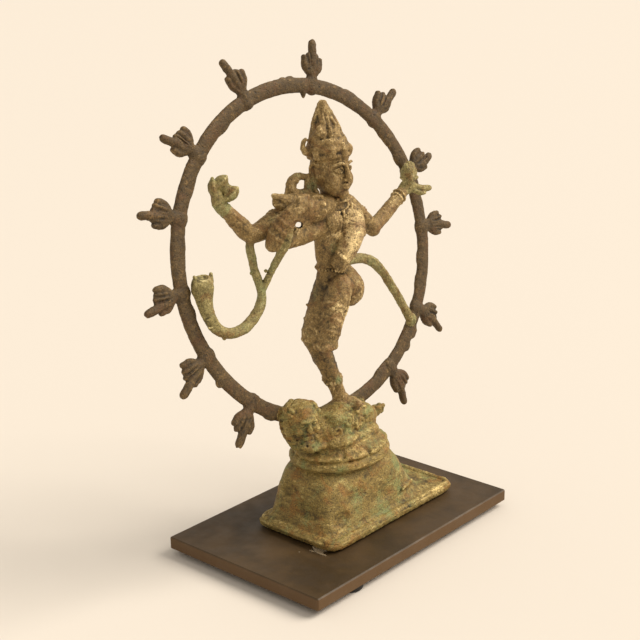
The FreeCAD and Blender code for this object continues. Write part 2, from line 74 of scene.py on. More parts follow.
def turned(v, axis, degrees):
    """v turned about axis, by the right-hand rule."""
    axis, angle = unit(axis), math.radians(degrees)
    v = np.asarray(v, float)
    return (v * math.cos(angle) + np.cross(axis, v) * math.sin(angle)
            + axis * (axis @ v) * (1 - math.cos(angle)))


def smooth_rows(rows, steps):
    """Rows of numbers joined by a Catmull-Rom curve, with steps spans between neighbours."""
    rows = np.array(rows, float)
    padded = np.vstack([2 * rows[0] - rows[1], rows, 2 * rows[-1] - rows[-2]])
    made = []
    for i in range(len(rows) - 1):
        a, b, c, d = padded[i:i + 4]
        for share in np.arange(steps) / steps:
            made.append(0.5 * (2 * b + (c - a) * share + (2 * a - 5 * b + 4 * c - d) * share ** 2
                               + (3 * b - a - 3 * c + d) * share ** 3))
    return np.array(made + [rows[-1]])


# ---- clay: shapes and strokes
# A shape is (distance function of x, y and z, lowest corner, highest corner).
def rod(a, b, start, end=None, flat=None):
    """A round-ended tapered rod. flat=(axis, share) presses it thinner along that axis."""
    a, b = vec(*a), vec(*b)
    end = start if end is None else end
    along = b - a
    square = max(along @ along, TINY)

    def distance(x, y, z):
        px, py, pz = x - a[0], y - a[1], z - a[2]
        share = np.clip((px * along[0] + py * along[1] + pz * along[2]) / square, 0, 1)
        px, py, pz = px - share * along[0], py - share * along[1], pz - share * along[2]
        if flat:
            axis, thin = flat
            lift = (px * axis[0] + py * axis[1] + pz * axis[2]) * (1 / thin - 1)
            px, py, pz = px + lift * axis[0], py + lift * axis[1], pz + lift * axis[2]
        return np.sqrt(px * px + py * py + pz * pz) - (start + (end - start) * share)

    reach = max(start, end)
    return distance, np.minimum(a, b) - reach, np.maximum(a, b) + reach


def egg(centre, halves, axes=None):
    """An ellipsoid with half-sizes along its own three axes."""
    centre, halves = vec(*centre), vec(*halves)
    axes = np.eye(3) if axes is None else np.array(axes, float)

    def distance(x, y, z):
        inner = outer = 0
        for axis, half in zip(axes, halves):
            u = (x - centre[0]) * axis[0] + (y - centre[1]) * axis[1] + (z - centre[2]) * axis[2]
            inner = inner + (u / half) ** 2
            outer = outer + (u / half ** 2) ** 2
        inner = np.sqrt(inner)
        return inner * (inner - 1) / np.maximum(np.sqrt(outer), SMALL)

    reach = np.abs(axes).T @ halves
    return distance, centre - reach, centre + reach


def eggs(rows):
    return [egg(centre, halves) for centre, halves in rows]


def stack(rows, steps=4):
    """Level ovals piled up: rows of (centre x, centre y, z, half x, half y), which may go on with
    how square the oval's left and right ends are: 2 for an ellipse, more for a rounded box."""
    lines = smooth_rows([(*row, 2, 2)[:7] for row in rows], steps)
    heights = lines[:, 2]
    steep = float(np.max(np.abs(np.diff(lines[:, 3]) / np.diff(heights))))
    slant = 1 / math.hypot(1, min(steep, 1.5))

    def distance(x, y, z):
        cx, cy, hx, hy, left, right = (np.interp(z, heights, lines[:, k]).astype(np.float32)
                                       for k in (0, 1, 3, 4, 5, 6))
        u, v = (x - cx) / hx, np.abs(y - cy) / hy + SMALL
        n = np.where(u < 0, left, right)
        u = np.abs(u) + SMALL
        inner = (u ** n + v ** n) ** (1 / n)
        slope = inner ** (1 - n) * np.hypot(u ** (n - 1) / hx, v ** (n - 1) / hy)
        side = slant * (inner - 1) / np.maximum(slope, SMALL)
        end = np.maximum(z - heights[-1], heights[0] - z)
        return np.where(end > 0, np.hypot(np.maximum(side, 0), end), np.maximum(side, end))

    reach = np.c_[lines[:, 3:5], np.zeros(len(lines))]
    return distance, (lines[:, :3] - reach).min(0), (lines[:, :3] + reach).max(0)


def plate(centre, halves, rounding):
    """A level rounded box."""
    centre, halves = vec(*centre), vec(*halves)

    def distance(x, y, z):
        q = [np.abs(p - c) - (h - rounding) for p, c, h in zip((x, y, z), centre, halves)]
        outside = np.sqrt(sum(np.maximum(part, 0) ** 2 for part in q))
        return outside + np.minimum(np.maximum(np.maximum(q[0], q[1]), q[2]), 0) - rounding

    return distance, centre - halves, centre + halves


def tube(rows, steps=5, flat=None):
    """Rods along a smooth line: rows of (x, y, z, radius)."""
    line = smooth_rows(rows, steps)
    return [rod(a[:3], b[:3], a[3], b[3], flat) for a, b in zip(line, line[1:])]


def cord_loop(centre, halves, radius, across=(1, 0, 0), over=(0, 1, 0), beads=False, turns=28):
    """A closed cord, or a string of beads, round an oval whose half-sizes are one number or two."""
    half_across, half_over = halves if isinstance(halves, tuple) else (halves, halves)
    angles = [2 * math.pi * i / turns for i in range(turns + 1)]
    points = [vec(*centre) + unit(across) * (half_across * math.cos(angle))
              + unit(over) * (half_over * math.sin(angle)) for angle in angles]
    if beads:
        return [egg(point, [radius] * 3) for point in points]
    return [rod(a, b, radius) for a, b in zip(points, points[1:])]


FAR = 3.5           # distances are only kept this near a surface
REACH = 2.2         # how far from a stroke its own distances are used
OVERLAP = 0.2       # how deep a piece reaches into a neighbour that it is joined to


# The ring lies in a plane that leans back and is turned a little: its own across, up and front.
RING_RADIUS, RING_WIDE, RING_DEEP = 80.2, 3.7, 1.8
RING_CENTRE = vec(1, 20.9, 142 - BOARD_TOP)
RING_YAW, RING_LEAN = -5.2, 11.2
RING_ACROSS = turned((1, 0, 0), (0, 0, 1), RING_YAW)
RING_UP = turned(turned((0, 0, 1), (1, 0, 0), -RING_LEAN), (0, 0, 1), RING_YAW)
RING_FRONT = np.cross(RING_ACROSS, RING_UP)


def ring_distance(x, y, z):
    """Distance from the ring's oval cord."""
    parts = (x - RING_CENTRE[0], y - RING_CENTRE[1], z - RING_CENTRE[2])
    across, up, front = (sum(p * axis[k] for k, p in enumerate(parts))
                         for axis in (RING_ACROSS, RING_UP, RING_FRONT))
    u, v = (np.hypot(across, up) - RING_RADIUS) / RING_WIDE, front / RING_DEEP
    inner = np.hypot(u, v)
    return inner * (inner - 1) / np.maximum(np.hypot(u / RING_WIDE, v / RING_DEEP), SMALL)


RING_SHAPE = (ring_distance, RING_CENTRE - 90, RING_CENTRE + 90)


def smooth_min(a, b, blend):
    """The lower of two distances, with the corner between them filled over a width of blend."""
    if blend <= 0:
        return np.minimum(a, b)
    bridge = np.maximum(blend - np.abs(a - b), 0)
    return np.minimum(a, b) - bridge * bridge * (0.25 / blend)


class Grid:
    """A box of sample points."""

    def __init__(self, low, high, voxel):
        self.voxel = voxel
        self.low = np.floor((low - FAR) / voxel).astype(int)
        self.count = np.ceil((high + FAR) / voxel).astype(int) - self.low + 1

    def part(self, low, high, margin):
        """The slices and coordinates of the samples between two corners, or None."""
        first = np.maximum(np.floor((low - margin) / self.voxel).astype(int) - self.low, 0)
        last = np.minimum(np.ceil((high + margin) / self.voxel).astype(int) - self.low + 1,
            self.count)
        if (last <= first).any():
            return None
        lines = [((np.arange(f, l) + start) * self.voxel).astype(np.float32)
                 for f, l, start in zip(first, last, self.low)]
        x, y, z = lines[0][:, None, None], lines[1][None, :, None], lines[2][None, None, :]
        return tuple(slice(f, l) for f, l in zip(first, last)), x, y, z


def pressed(strokes, grid):
    """The distance field of a list of strokes on a grid."""
    field = np.full(grid.count, FAR, np.float32)
    for kind, (distance, low, high), blend in strokes:
        part = grid.part(low, high, REACH + blend)
        if part is None:
            continue
        here, x, y, z = part
        if kind == "add":
            field[here] = smooth_min(field[here], distance(x, y, z), blend)
        else:
            field[here] = -smooth_min(-field[here], distance(x, y, z), blend)
    return field


PIECES = {}


class Piece:
    """One piece of the casting: its strokes, the pieces it is joined to, and its metal."""

    def __init__(self, name, behind, fillet, voxel, rough, metal):
        self.name, self.behind, self.fillet = name, behind, fillet
        self.voxel, self.rough, self.metal = voxel, rough, metal
        self.strokes = []

    def field(self):
        """The piece's own field, flared onto the pieces behind it and stopped inside them."""
        shapes = [shape for kind, shape, _ in self.strokes if kind == "add"]
        low = np.min([low for _, low, _ in shapes], axis=0)
        high = np.max([high for _, _, high in shapes], axis=0)
        grid = Grid(low, high, self.voxel * (1))
        own = pressed(self.strokes, grid)
        for name in self.behind:
            ring = name == "aureole_ring"
            other = pressed([("add", RING_SHAPE, 0)] if ring else PIECES[name].strokes, grid)
            joined = smooth_min(own, other + OVERLAP, self.fillet)
            own = np.maximum(joined, -other - OVERLAP)
        return own, grid


def begin(name, behind=(), fillet=1, voxel=0.34, rough=1, metal="figure_brass"):
    """Start a piece; the strokes that follow belong to it."""
    PIECES[name] = Piece(name, behind, fillet, voxel, rough, metal)


def stroke(kind, shapes, blend):
    strokes = next(reversed(PIECES.values())).strokes
    strokes += [(kind, s, blend) for s in (shapes if isinstance(shapes, list) else [shapes])]


def add(shapes, blend=0.5):
    stroke("add", shapes, blend)


def cut(shapes, blend=0.3):
    stroke("cut", shapes, blend)


# ---- weathering of a mesh
LATTICE = 64
NOISE = np.random.default_rng(7).random((LATTICE, LATTICE, LATTICE)).astype(np.float32)


def noise(points, size, seed=0):
    """Smooth value noise from -1 to 1 with features of about the given size."""
    q = points / size + seed * 17.31
    cell = np.floor(q).astype(int)
    f = q - cell
    f = f * f * (3 - 2 * f)
    total = 0
    for corner in range(8):
        step = np.array([corner & 1, corner >> 1 & 1, corner >> 2 & 1])
        index = (cell + step) % LATTICE
        weight = np.prod(np.where(step, f, 1 - f), axis=1)
        total = total + weight * NOISE[index[:, 0], index[:, 1], index[:, 2]]
    return total * 2 - 1


def face_normals(points, quads):
    return np.cross(points[quads[:, 2]] - points[quads[:, 0]],
        points[quads[:, 3]] - points[quads[:, 1]])


def point_normals(points, quads):
    faces = face_normals(points, quads)
    total = np.stack([sum(np.bincount(quads[:, k], faces[:, axis], len(points)) for k in range(4))
                      for axis in range(3)], axis=1)
    return total / np.maximum(np.linalg.norm(total, axis=1, keepdims=True), TINY)


class Relaxer:
    """Averages each point with its neighbours."""

    def __init__(self, quads, count):
        self.a = quads.ravel()
        self.b = np.roll(quads, -1, axis=1).ravel()
        self.count = count
        self.degree = np.maximum(np.bincount(self.a, minlength=count)
                                 + np.bincount(self.b, minlength=count), 1)

    def mean(self, values):
        return (np.bincount(self.a, values[self.b], self.count)
                + np.bincount(self.b, values[self.a], self.count)) / self.degree

    def __call__(self, points, times, strength=0.5):
        for _ in range(times):
            means = np.stack([self.mean(points[:, k]) for k in range(3)], 1)
            points = points + strength * (means - points)
        return points


RELIEF_SPREAD = 2.4     # a point's relief is its height over about this much around it
RELIEF_FULL = 0.35      # the height that counts as a relief of 1
RELIEF_MOST = 1.5


def weather(points, quads, voxel, rough):
    """Pits, lumps and scars of an old casting. Returns the new points and their relief."""
    relax = Relaxer(quads, len(points))
    points = relax(points, times=2)
    normals = point_normals(points, quads)
    lumps = 0.22 * noise(points, 5.0, 1) + 0.13 * noise(points, 2.2, 2)
    grain = 0.09 * noise(points, 1.1, 3) + 0.05 * noise(points, 0.7, 4)
    pits = -0.35 * np.clip(noise(points, 1.7, 5) - 0.42, 0, 1) ** 0.8
    crust = 0.3 * np.clip(noise(points, 1.4, 6) - 0.5, 0, 1)
    points = points + normals * ((lumps + grain + pits + crust) * rough)[:, None]
    normals = point_normals(points, quads)
    broad = relax(points, times=3 * max(2, round(RELIEF_SPREAD / voxel)))
    relief = np.einsum("ij,ij->i", points - broad, normals) / RELIEF_FULL
    return points, np.clip(relief, -RELIEF_MOST, RELIEF_MOST)


def placed(name, data):
    """A new object in the scene."""
    item = bpy.data.objects.new(name, data)
    bpy.context.scene.collection.objects.link(item)
    return item


def mesh_object(name, points, quads, **attributes):
    """A Blender object from points in this file's millimetres."""
    mesh = bpy.data.meshes.new(name)
    lifted = (points + [0, 0, BOARD_TOP]) * MM
    mesh.vertices.add(len(points))
    mesh.vertices.foreach_set("co", lifted.astype(np.float32).ravel())
    mesh.loops.add(quads.size)
    mesh.loops.foreach_set("vertex_index", quads.astype(np.int32).ravel())
    mesh.polygons.add(len(quads))
    mesh.polygons.foreach_set("loop_start", np.arange(0, quads.size, 4, dtype=np.int32))
    mesh.polygons.foreach_set("use_smooth", np.ones(len(quads), bool))
    mesh.update()
    mesh.validate()
    for label, values in attributes.items():
        layer = mesh.attributes.new(label, "FLOAT", "POINT")
        layer.data.foreach_set("value", values.astype(np.float32))
    return placed(name, mesh)


def surface(field, grid):
    """The points, in millimetres, and the quads of a distance field's surface."""
    volume = openvdb.FloatGrid(FAR)
    volume.copyFromArray(field)
    points, quads = volume.convertToQuads(0)
    return (points.astype(float) + grid.low) * grid.voxel, quads.astype(int)


def sculpt(piece):
    """Mesh and weather one piece; safe to run beside others."""
    field, grid = piece.field()
    points, quads = surface(field, grid)
    points, relief = weather(points, quads, grid.voxel, piece.rough)
    return points, quads, relief


# ---- the ring and its flames
def ring_point(degrees, out=0, side=0, front=0):
    """A place by the ring: degrees from its top towards the figure's left, then mm in its plane."""
    turn = math.radians(degrees)
    away = RING_ACROSS * math.sin(turn) + RING_UP * math.cos(turn)
    along = RING_ACROSS * math.cos(turn) - RING_UP * math.sin(turn)
    return RING_CENTRE + away * (RING_RADIUS + out) + along * side + RING_FRONT * front


# Casting nubs on the ring: (degrees, place from -1 at its inner edge to 1, height, length in mm).
NUBS = [(8, -1, 2.6, 1), (2, 0.9, 0.9, 2.2), (-1, 0.8, 0.7, 1.6), (52, -1, 0.7, 5),
    (63, -0.9, 1, 3), (103, -0.9, 1.1, 3.5), (112, -1, 0.9, 4), (131, 1, 2.2, 3.2),
    (137, 0.8, 1.8, 2.5), (-33, -1, 0.8, 4), (-58, -1, 0.7, 4), (-126, 0.9, 1.6, 1.8),
    (-100, -1, 0.8, 3), (152, -0.8, 1.2, 5), (75, 0.9, 0.9, 3), (-80, -0.9, 0.6, 6),
    (-150, 0.8, 1, 3), (30, 0.9, 0.7, 4)]


def ring_mesh():
    """The ring's cord, swollen by its nubs and weathered."""
    turns, around = ((2000, 44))
    degrees = np.arange(turns) * 360 / turns
    a = np.arange(around) * 2 * math.pi / around
    wide = np.sign(np.cos(a)) * np.abs(np.cos(a)) ** 0.9
    deep = np.sign(np.sin(a)) * np.abs(np.sin(a)) ** 0.8
    turn = np.radians(degrees)[:, None, None]
    away = RING_ACROSS * np.sin(turn) + RING_UP * np.cos(turn)
    swell = np.ones((turns, around))
    for at, place, height, length in NUBS:
        gap = (degrees - at + 180) % 360 - 180
        shape = np.exp(-(gap / math.degrees(length / RING_RADIUS)) ** 4)[:, None]
        edge = np.clip((np.cos(a) * np.sign(place) - 0.35) / 0.65, 0, 1) ** 1.5
        swell += shape * edge * height / RING_WIDE
    points = (RING_CENTRE + away * (RING_RADIUS + RING_WIDE * (wide * swell)[:, :, None])
              + RING_FRONT * (RING_DEEP * deep * np.ones((turns, 1)))[:, :, None])
    index = np.arange(turns * around).reshape(turns, around)
    next_turn, next_around = np.roll(index, -1, 0), np.roll(index, -1, 1)
    quads = np.stack([index, next_around, np.roll(next_turn, -1, 1), next_turn], -1).reshape(-1, 4)
    points = points.reshape(-1, 3)
    if point_normals(points, quads)[0] @ (points[0] - ring_point(0)) < 0:
        quads = quads[:, ::-1]
    points, relief = weather(points, quads, voxel=0.5, rough=0.62)
    return points, quads, relief


# Flames: (degrees, lean of the tongue, its start across, its length, bud half-width, ribs).
FLAMES = [(12, 0, 0, 22.6, 5.6, 5), (44, 1.5, 2.4, 22, 4.8, 4), (69, -1, 2.6, 20.5, 5.4, 4),
    (91, 2, 0.6, 22.3, 5.6, 6), (122, 3, 1.6, 22.8, 5.4, 5), (148, 3.5, 1.6, 22.8, 5.2, 5),
    (-19, -2, -1.6, 22.8, 5, 4), (-47, -2.5, -2.2, 22.2, 6, 5), (-69, -2, -0.8, 22.8, 6, 6),
    (-93, -1.5, -2.4, 22.4, 5.8, 6), (-116, -2.5, -2.6, 22.8, 5.8, 5), (-141, -1, -1, 22.8, 5.4, 5)]


def flame(number, degrees, lean, start, length, half, ribs):
    """A necked bud of folded petals with a long tongue standing out of it."""
    seeded = np.random.default_rng(40 + number)
    begin(f"flame_{number:02d}", ["aureole_ring"], 2.6, voxel=0.28, metal="ring_brass")

    def at(out, side, front=0):
        return ring_point(degrees, out, side, front)

    axes = (at(0, 1) - at(0, 0), RING_FRONT, at(1, 0) - at(0, 0))
    add(rod(at(-1, 0), at(6.5, 0), 2.9, 2.5, (RING_FRONT, 0.72)))
    add(egg(at(10.4, 0), (half, 2.2, 5.4), axes), 1.8)
    add(egg(at(11.8, 0), (half * 0.9, 1.5, 3.4), axes), 0.8)
    for i in range(ribs):
        share = (i / (ribs - 1)) * 2 - 1
        reach = 15.2 - 2 * share * share + seeded.uniform(-0.8, 0.8)
        tip = share * half * seeded.uniform(0.84, 0.98)
        height = 1.15 * math.cos(share * 1.25) + seeded.uniform(-0.1, 0.1)
        for face in (-1, 1):
            line = [(*at(5.5, share * 1.6, face * 0.7), 0.95),
                    (*at(9.2, share * half * 0.84, face * height), 1.15),
                    (*at(12.6, share * half * 0.92, face * height * 0.9), 1.05),
                    (*at(reach, tip, face * 0.45), 0.7)]
            add(tube(line, 4), 0.7)
    for i in range(ribs - 1):
        share = ((i + 0.5) / (ribs - 1)) * 2 - 1
        for face in (-1, 1):
            cut(rod(at(7.6, share * half * 0.7, face * 2.5),
                    at(15.6, share * half * 0.95, face * 1.5), 0.3, 0.5), 0.35)
    tongue = [(*at(8, start * 0.6, 0.4), 1.9), (*at(12.5, start, 0.5), 2),
        (*at(length - 4.2, start + lean * 0.75, 0.4), 1.85),
        (*at(length - 1.6, start + lean, 0.2), 1.6)]
    add(tube(tongue, 5, (RING_FRONT, 0.86)), 0.6)
    end = length + seeded.uniform(-0.4, 0.3)
    cut(rod(at(end, start + lean - 1.6, -0.5), at(end + 0.5, start + lean + 0.4, 0.8), 0.7), 0.4)
    groove = start - (2.1 if start >= 0 else -2.1)
    cut(rod(at(9, groove, 2.3), at(15.5, groove, 1.6), 0.4, 0.5))


for number, row in enumerate(FLAMES, start=1):
    flame(number, *row)

# ---- the pedestal
FLANGE, FLANGE_HALVES = (9.2, -1.8), (48.75, 25.75)
PEDESTAL_FOOT = 1     # the clear glue lies under it
DOME_FOOT, DOME_TOP = 5, 30.6
# The dome's ovals: (share of its height, centre x and y, half x and y, squareness left and right).
DOME = [(0, 3.6, -1.3, 43.2, 24.2, 8, 2.8), (0.06, 3.6, -1, 41.6, 23.2, 7, 2.6),
    (0.156, 3.3, -0.6, 39.8, 22.4, 6, 2.5), (0.35, 2.5, 0.3, 37, 21.6, 5, 2.6),
    (0.586, 1.6, 1.4, 34, 21.3, 4, 2.8), (0.78, 1.1, 2.4, 31.3, 20.8, 3.2, 2.8),
    (0.92, 1, 3, 28.8, 20, 2.7, 2.6), (1, 1, 3, 26.4, 18.6, 2.5, 2.4)]


def dome_rows(shrink, low, high):
    """The dome flares out of a foot that is squarest at its left end, and rounds in at the top."""
    return [(cx, cy, low + (high - low) * share, long - shrink, deep - shrink, left, right)
            for share, cx, cy, long, deep, left, right in DOME]


begin("pedestal", voxel=0.42, rough=0.8, metal="pedestal_brass")
add(stack([(*FLANGE, z, FLANGE_HALVES[0] - inset, FLANGE_HALVES[1] - inset, 14, 14)
    for z, inset in ((PEDESTAL_FOOT, 0.75), (1.8, 0), (3.9, 0), (DOME_FOOT, 1.15))], 3))
add(stack(dome_rows(0.3, DOME_FOOT - 0.8, DOME_TOP), 6), 2.4)
add(rod((20, -22.2, 12), (38, -14.6, 9), 0.7, 0.5), 1.4)
# Soft dents, a cold shut across the front, and three file scratches.
cut(eggs([((-14, -20.4, 21), (7, 1.6, 4)), ((6, -21.8, 17), (8, 1.4, 5)),
    ((-33.6, -6, 15), (1.4, 7, 4)), ((-31.2, 8, 22), (1.5, 5, 3.5)), ((26, -18.4, 24), (5, 2, 3)),
    ((-26, -20.6, 12), (5, 1.4, 3))]), 2.2)
cut(tube([(-30, -21.8, 13, 0.3), (-14, -22.3, 15, 0.35), (4, -22.4, 12.6, 0.3),
    (18, -22, 14.2, 0.25)]), 0.9)
cut([rod(*ends, 0.3) for ends in [((23.4, -20, 21), (25.4, -20.4, 13)),
    ((27.2, -19, 20), (28.2, -20.4, 13.5)), ((17.6, -22.4, 13.2), (19.2, -23.2, 9.4))]], 0.2)
cut(stack(dome_rows(2.5, PEDESTAL_FOOT - 1.5, DOME_TOP - 2.8)), 0.2)

begin("pedestal_edge_bead", ["pedestal"], 2, voxel=0.42, rough=1.3, metal="pedestal_brass")
EDGE_X, EDGE_Y = (half - 2 for half in FLANGE_HALVES)
EDGE_TURN = 4.5         # radius of the bead's corners
corners = []
for side, end in ((1, -1), (1, 1), (-1, 1), (-1, -1)):
    for step in range(5):
        turn = math.radians(22.5 * (step if side * end > 0 else 4 - step))
        corners.append((FLANGE[0] + side * (EDGE_X - EDGE_TURN * (1 - math.cos(turn))),
            FLANGE[1] + end * (EDGE_Y - EDGE_TURN * (1 - math.sin(turn))), 4.8))
add([rod(a, b, 0.8) for a, b in zip(corners, corners[1:] + corners[:1])])

begin("lotus_lower_ring", ["pedestal"], 1.2, voxel=0.4, rough=1.1, metal="pedestal_brass")
add(stack([(1, 3, 30.6, 26, 21), (1, 3, 32.2, 27.8, 22.7), (1, 3, 33.6, 28.2, 23),
    (1, 3, 35, 27.5, 22.4), (1, 3, 36.2, 25.6, 20.6)], 5))
cut(cord_loop((1, 3, 34.4), (28.8, 23.6), 0.5, turns=60), 0.8)
begin("lotus_upper_ring", ["lotus_lower_ring"], 1.2, voxel=0.4, rough=1.2, metal="pedestal_brass")
add(stack([(1, 3, 35.8, 24, 19.4), (1, 3, 37, 25.9, 21.2), (1, 3, 38.4, 25.7, 21.1),
    (1, 3, 40.2, 23, 18.8), (1, 3, 43, 20.4, 16.6)], 5))
add(cord_loop((1, 3, 37.6), (25.4, 20.8), 0.8, turns=34), 0.9)
seeded = np.random.default_rng(5)
for i in range(9):
    turn = 2 * math.pi * (i + seeded.uniform(0.1, 0.9)) / 9
    foot = vec(1 + 26.9 * math.cos(turn), 3 + 22.2 * math.sin(turn), seeded.uniform(36.4, 39))
    cut(rod(foot, foot + vec(-2.6 * math.cos(turn), -2.6 * math.sin(turn),
        seeded.uniform(1.5, 3.6)), 0.5), 2.2)

# ---- the dwarf under the foot
BELLY, BELLY_HALVES = vec(-1, 0.6, 50.4), vec(18.5, 9.4, 10.2)


def on_belly(x, z, out=0):
    """A place on the front of the dwarf's body."""
    u, v = (x - BELLY[0]) / BELLY_HALVES[0], (z - BELLY[2]) / BELLY_HALVES[2]
    return vec(x, BELLY[1] - BELLY_HALVES[1] * math.sqrt(max(0.02, 1 - u * u - v * v)) - out, z)


begin("dwarf_body", ["lotus_upper_ring", "aureole_ring"], 3, voxel=0.36, rough=1.3,
    metal="pedestal_brass")
add(egg(BELLY, BELLY_HALVES))
add(tube([(-19, 3, 49, 6.8), (-11, 2, 50.4, 7.6), (2, 1, 50.4, 7.6), (12, 0.6, 48.6, 7),
    (19, 0, 47, 4.8)], 4), 1.6)
add(eggs([((-8, -3.6, 44.6), (11, 9, 3.6)), ((8, -3.4, 44.2), (11.5, 8.6, 3.4)),
    ((-2, -0.8, 58.4), (7, 6, 3.4)), ((-10.5, -4.6, 55.5), (4.4, 3.4, 3.6)),
    ((13.4, -4.2, 50.5), (4, 3.4, 4.4))]), 2)
# Locks and folds lie over it in worn curls: (x, z, reach, which way it winds).
for x, z, reach, hand in [(-12.4, 49.6, 3, 1), (-5.4, 53.6, 3.3, -1), (-5.2, 46.4, 2.7, 1),
        (3.2, 50.2, 3.5, 1), (9.8, 53.2, 2.5, -1), (11, 47.4, 2.9, -1), (-12.4, 55.6, 2.2, 1),
        (2.4, 57.2, 2.2, -1), (-0.6, 43.8, 2.2, 1)]:
    curl = []
    for i in range(16):
        turn, near = 0.8 * x + hand * i * 0.62, reach * (1 - i / 19)
        curl.append((*on_belly(x + near * math.cos(turn), z + near * math.sin(turn), 0.1),
            0.78 - 0.015 * i))
    add(tube(curl, 2), 0.7)

begin("dwarf_head", ["dwarf_body", "aureole_ring"], 2, rough=1.3, metal="pedestal_brass")
DWARF_HEAD = vec(-28, 3, 59)
add(egg(DWARF_HEAD, (9, 9.2, 9.3)))
FACE_AHEAD = unit((-0.35, -0.92, -0.12))
FACE_RIGHT = unit(np.cross(FACE_AHEAD, (0, 0, 1)))
FACE_UP = np.cross(FACE_RIGHT, FACE_AHEAD)


def by_face(ahead, right, up):
    return DWARF_HEAD + FACE_AHEAD * ahead + FACE_RIGHT * right + FACE_UP * up


add(rod(by_face(8.6, -3.6, 2.6), by_face(9, 3.6, 2.6), 0.9), 0.8)
add(rod(by_face(8.9, 0, 2), by_face(10, 0, -1.2), 0.9, 1.5), 0.8)
for hand in (-1, 1):
    cut(egg(by_face(9.2, hand * 3.3, 1), (1.5, 1.2, 1)), 0.6)
    add(egg(by_face(8.3, hand * 3.2, 0.9), (1.2, 1, 0.8)), 0.3)
    add(egg(by_face(7.2, hand * 4.4, -2.6), (2.4, 2.2, 2.4)), 1.2)
add(rod(by_face(8.6, -2.2, -3.8), by_face(8.6, 2.2, -3.8), 0.8), 0.6)
cut(rod(by_face(9.6, -1.9, -4.5), by_face(9.6, 1.9, -4.5), 0.4), 0.4)
add(egg(by_face(7.4, 0, -6.4), (2.6, 2.2, 1.8)), 1)
for k, (drop, reach) in enumerate([(6.6, 6.6), (4.6, 8.2)]):
    ring_of_hair = []
    for i in range(25):
        angle = math.pi * (-0.12 + 1.24 * i / 24)
        spot = (by_face(0, 0, drop) + FACE_RIGHT * (reach * math.cos(angle))
                - FACE_AHEAD * (reach * math.sin(angle) - 1.6))
        ring_of_hair.append((*spot, 0.85 + 0.1 * math.sin(5 * angle + k)))
    add(tube(ring_of_hair, 1), 1)
cut(rod(by_face(7.8, -6.2, 6.2), by_face(7.8, 6.2, 6.2), 0.6), 0.8)

begin("dwarf_hair", ["dwarf_head", "dwarf_body", "lotus_upper_ring", "lotus_lower_ring",
    "aureole_ring"], 2.2, rough=1.5, metal="pedestal_brass")
MANE = smooth_rows([(-29.5, 7.5, 67, 1.3), (-35, 6.4, 63.6, 1.9), (-37.2, 5.2, 58.2, 2.2),
    (-36.2, 3.2, 52.6, 2.3), (-32.4, 0.4, 47.6, 2.3), (-26.6, -2.2, 44.4, 2.1),
    (-20, -4, 43.6, 1.6)], 6)
add([rod(a[:3], b[:3], a[3], b[3]) for a, b in zip(MANE, MANE[1:])])
add(tube([(-30, 8, 56, 3), (-32, 4, 50, 3.8), (-27, 1, 45.8, 3.8), (-19, -1, 44.8, 2.9)], 4), 1.2)
for i in range(2, len(MANE) - 1, 3):
    spine, inward = MANE[i][:3], unit(vec(-27, 0, 58) - MANE[i][:3])
    add(rod(spine + inward * 0.6, spine + inward * 6.2, 1, 0.7), 0.45)
    cut(egg(MANE[i - 1][:3] - inward * 2.2 + (0, -0.6, 0), (0.9, 1.4, 0.9)), 0.6)
for i in range(3, len(MANE) - 2, 3):
    spine, inward = MANE[i][:3] + (-0.4, -1.8, 0), unit(vec(-27, -2, 58) - MANE[i][:3])
    cut(rod(spine + inward, spine + inward * 5.6, 0.45), 0.4)

begin("dwarf_leg", ["dwarf_body", "lotus_upper_ring", "aureole_ring"], 2, rough=1.5,
    metal="pedestal_brass")
add(tube([(14, 1, 47.5, 4.4), (20, 1, 46.6, 3.8), (24.6, 1, 46.3, 3), (28.2, 1, 46.6, 2.6)], 4),
    0.8)
add(egg((30, 0.7, 46.9), (2.4, 2.4, 2.9)), 0.9)
add(rod((26, -1.2, 48.8), (30.2, -1.4, 49.2), 1.4, 1.2), 0.8)
add(rod((20, -1, 43.6), (17, -2, 42.5), 2.4, 2.8), 1.2)

# ---- the body
begin("hips", fillet=1.6, voxel=0.3)
add(stack([(3, 6.6, 113, 8, 5.8), (2.6, 6.8, 116, 10, 6.9), (2.5, 6.8, 120, 11.1, 7.4),
    (2.2, 7, 123.5, 10, 7.1), (1.2, 7.2, 126.8, 7.8, 6.2)], 5))
for lift in (114.5, 117.4, 120.3, 123.2):
    inset = abs(lift - 119) ** 1.8
    add(cord_loop((2.4, 6.8, lift), (10.9 - 0.12 * inset, 7.4 - 0.08 * inset), 0.5, (1, 0, 0.1),
        (0, 1, -0.15), turns=30))

begin("waist_belt", ["hips"], 1.2, voxel=0.28)
add(stack([(1.2, 7.2, 126.3, 8, 6.5), (1.1, 7.3, 127.75, 8.4, 6.9), (1, 7.4, 129.2, 8, 6.6)]))
add(cord_loop((1.1, 7.3, 127.8), (8.5, 7), 0.75, beads=True, turns=30), 0.2)
add(egg((1, 0.2, 127.4), (1.9, 1.1, 1.8)), 0.4)

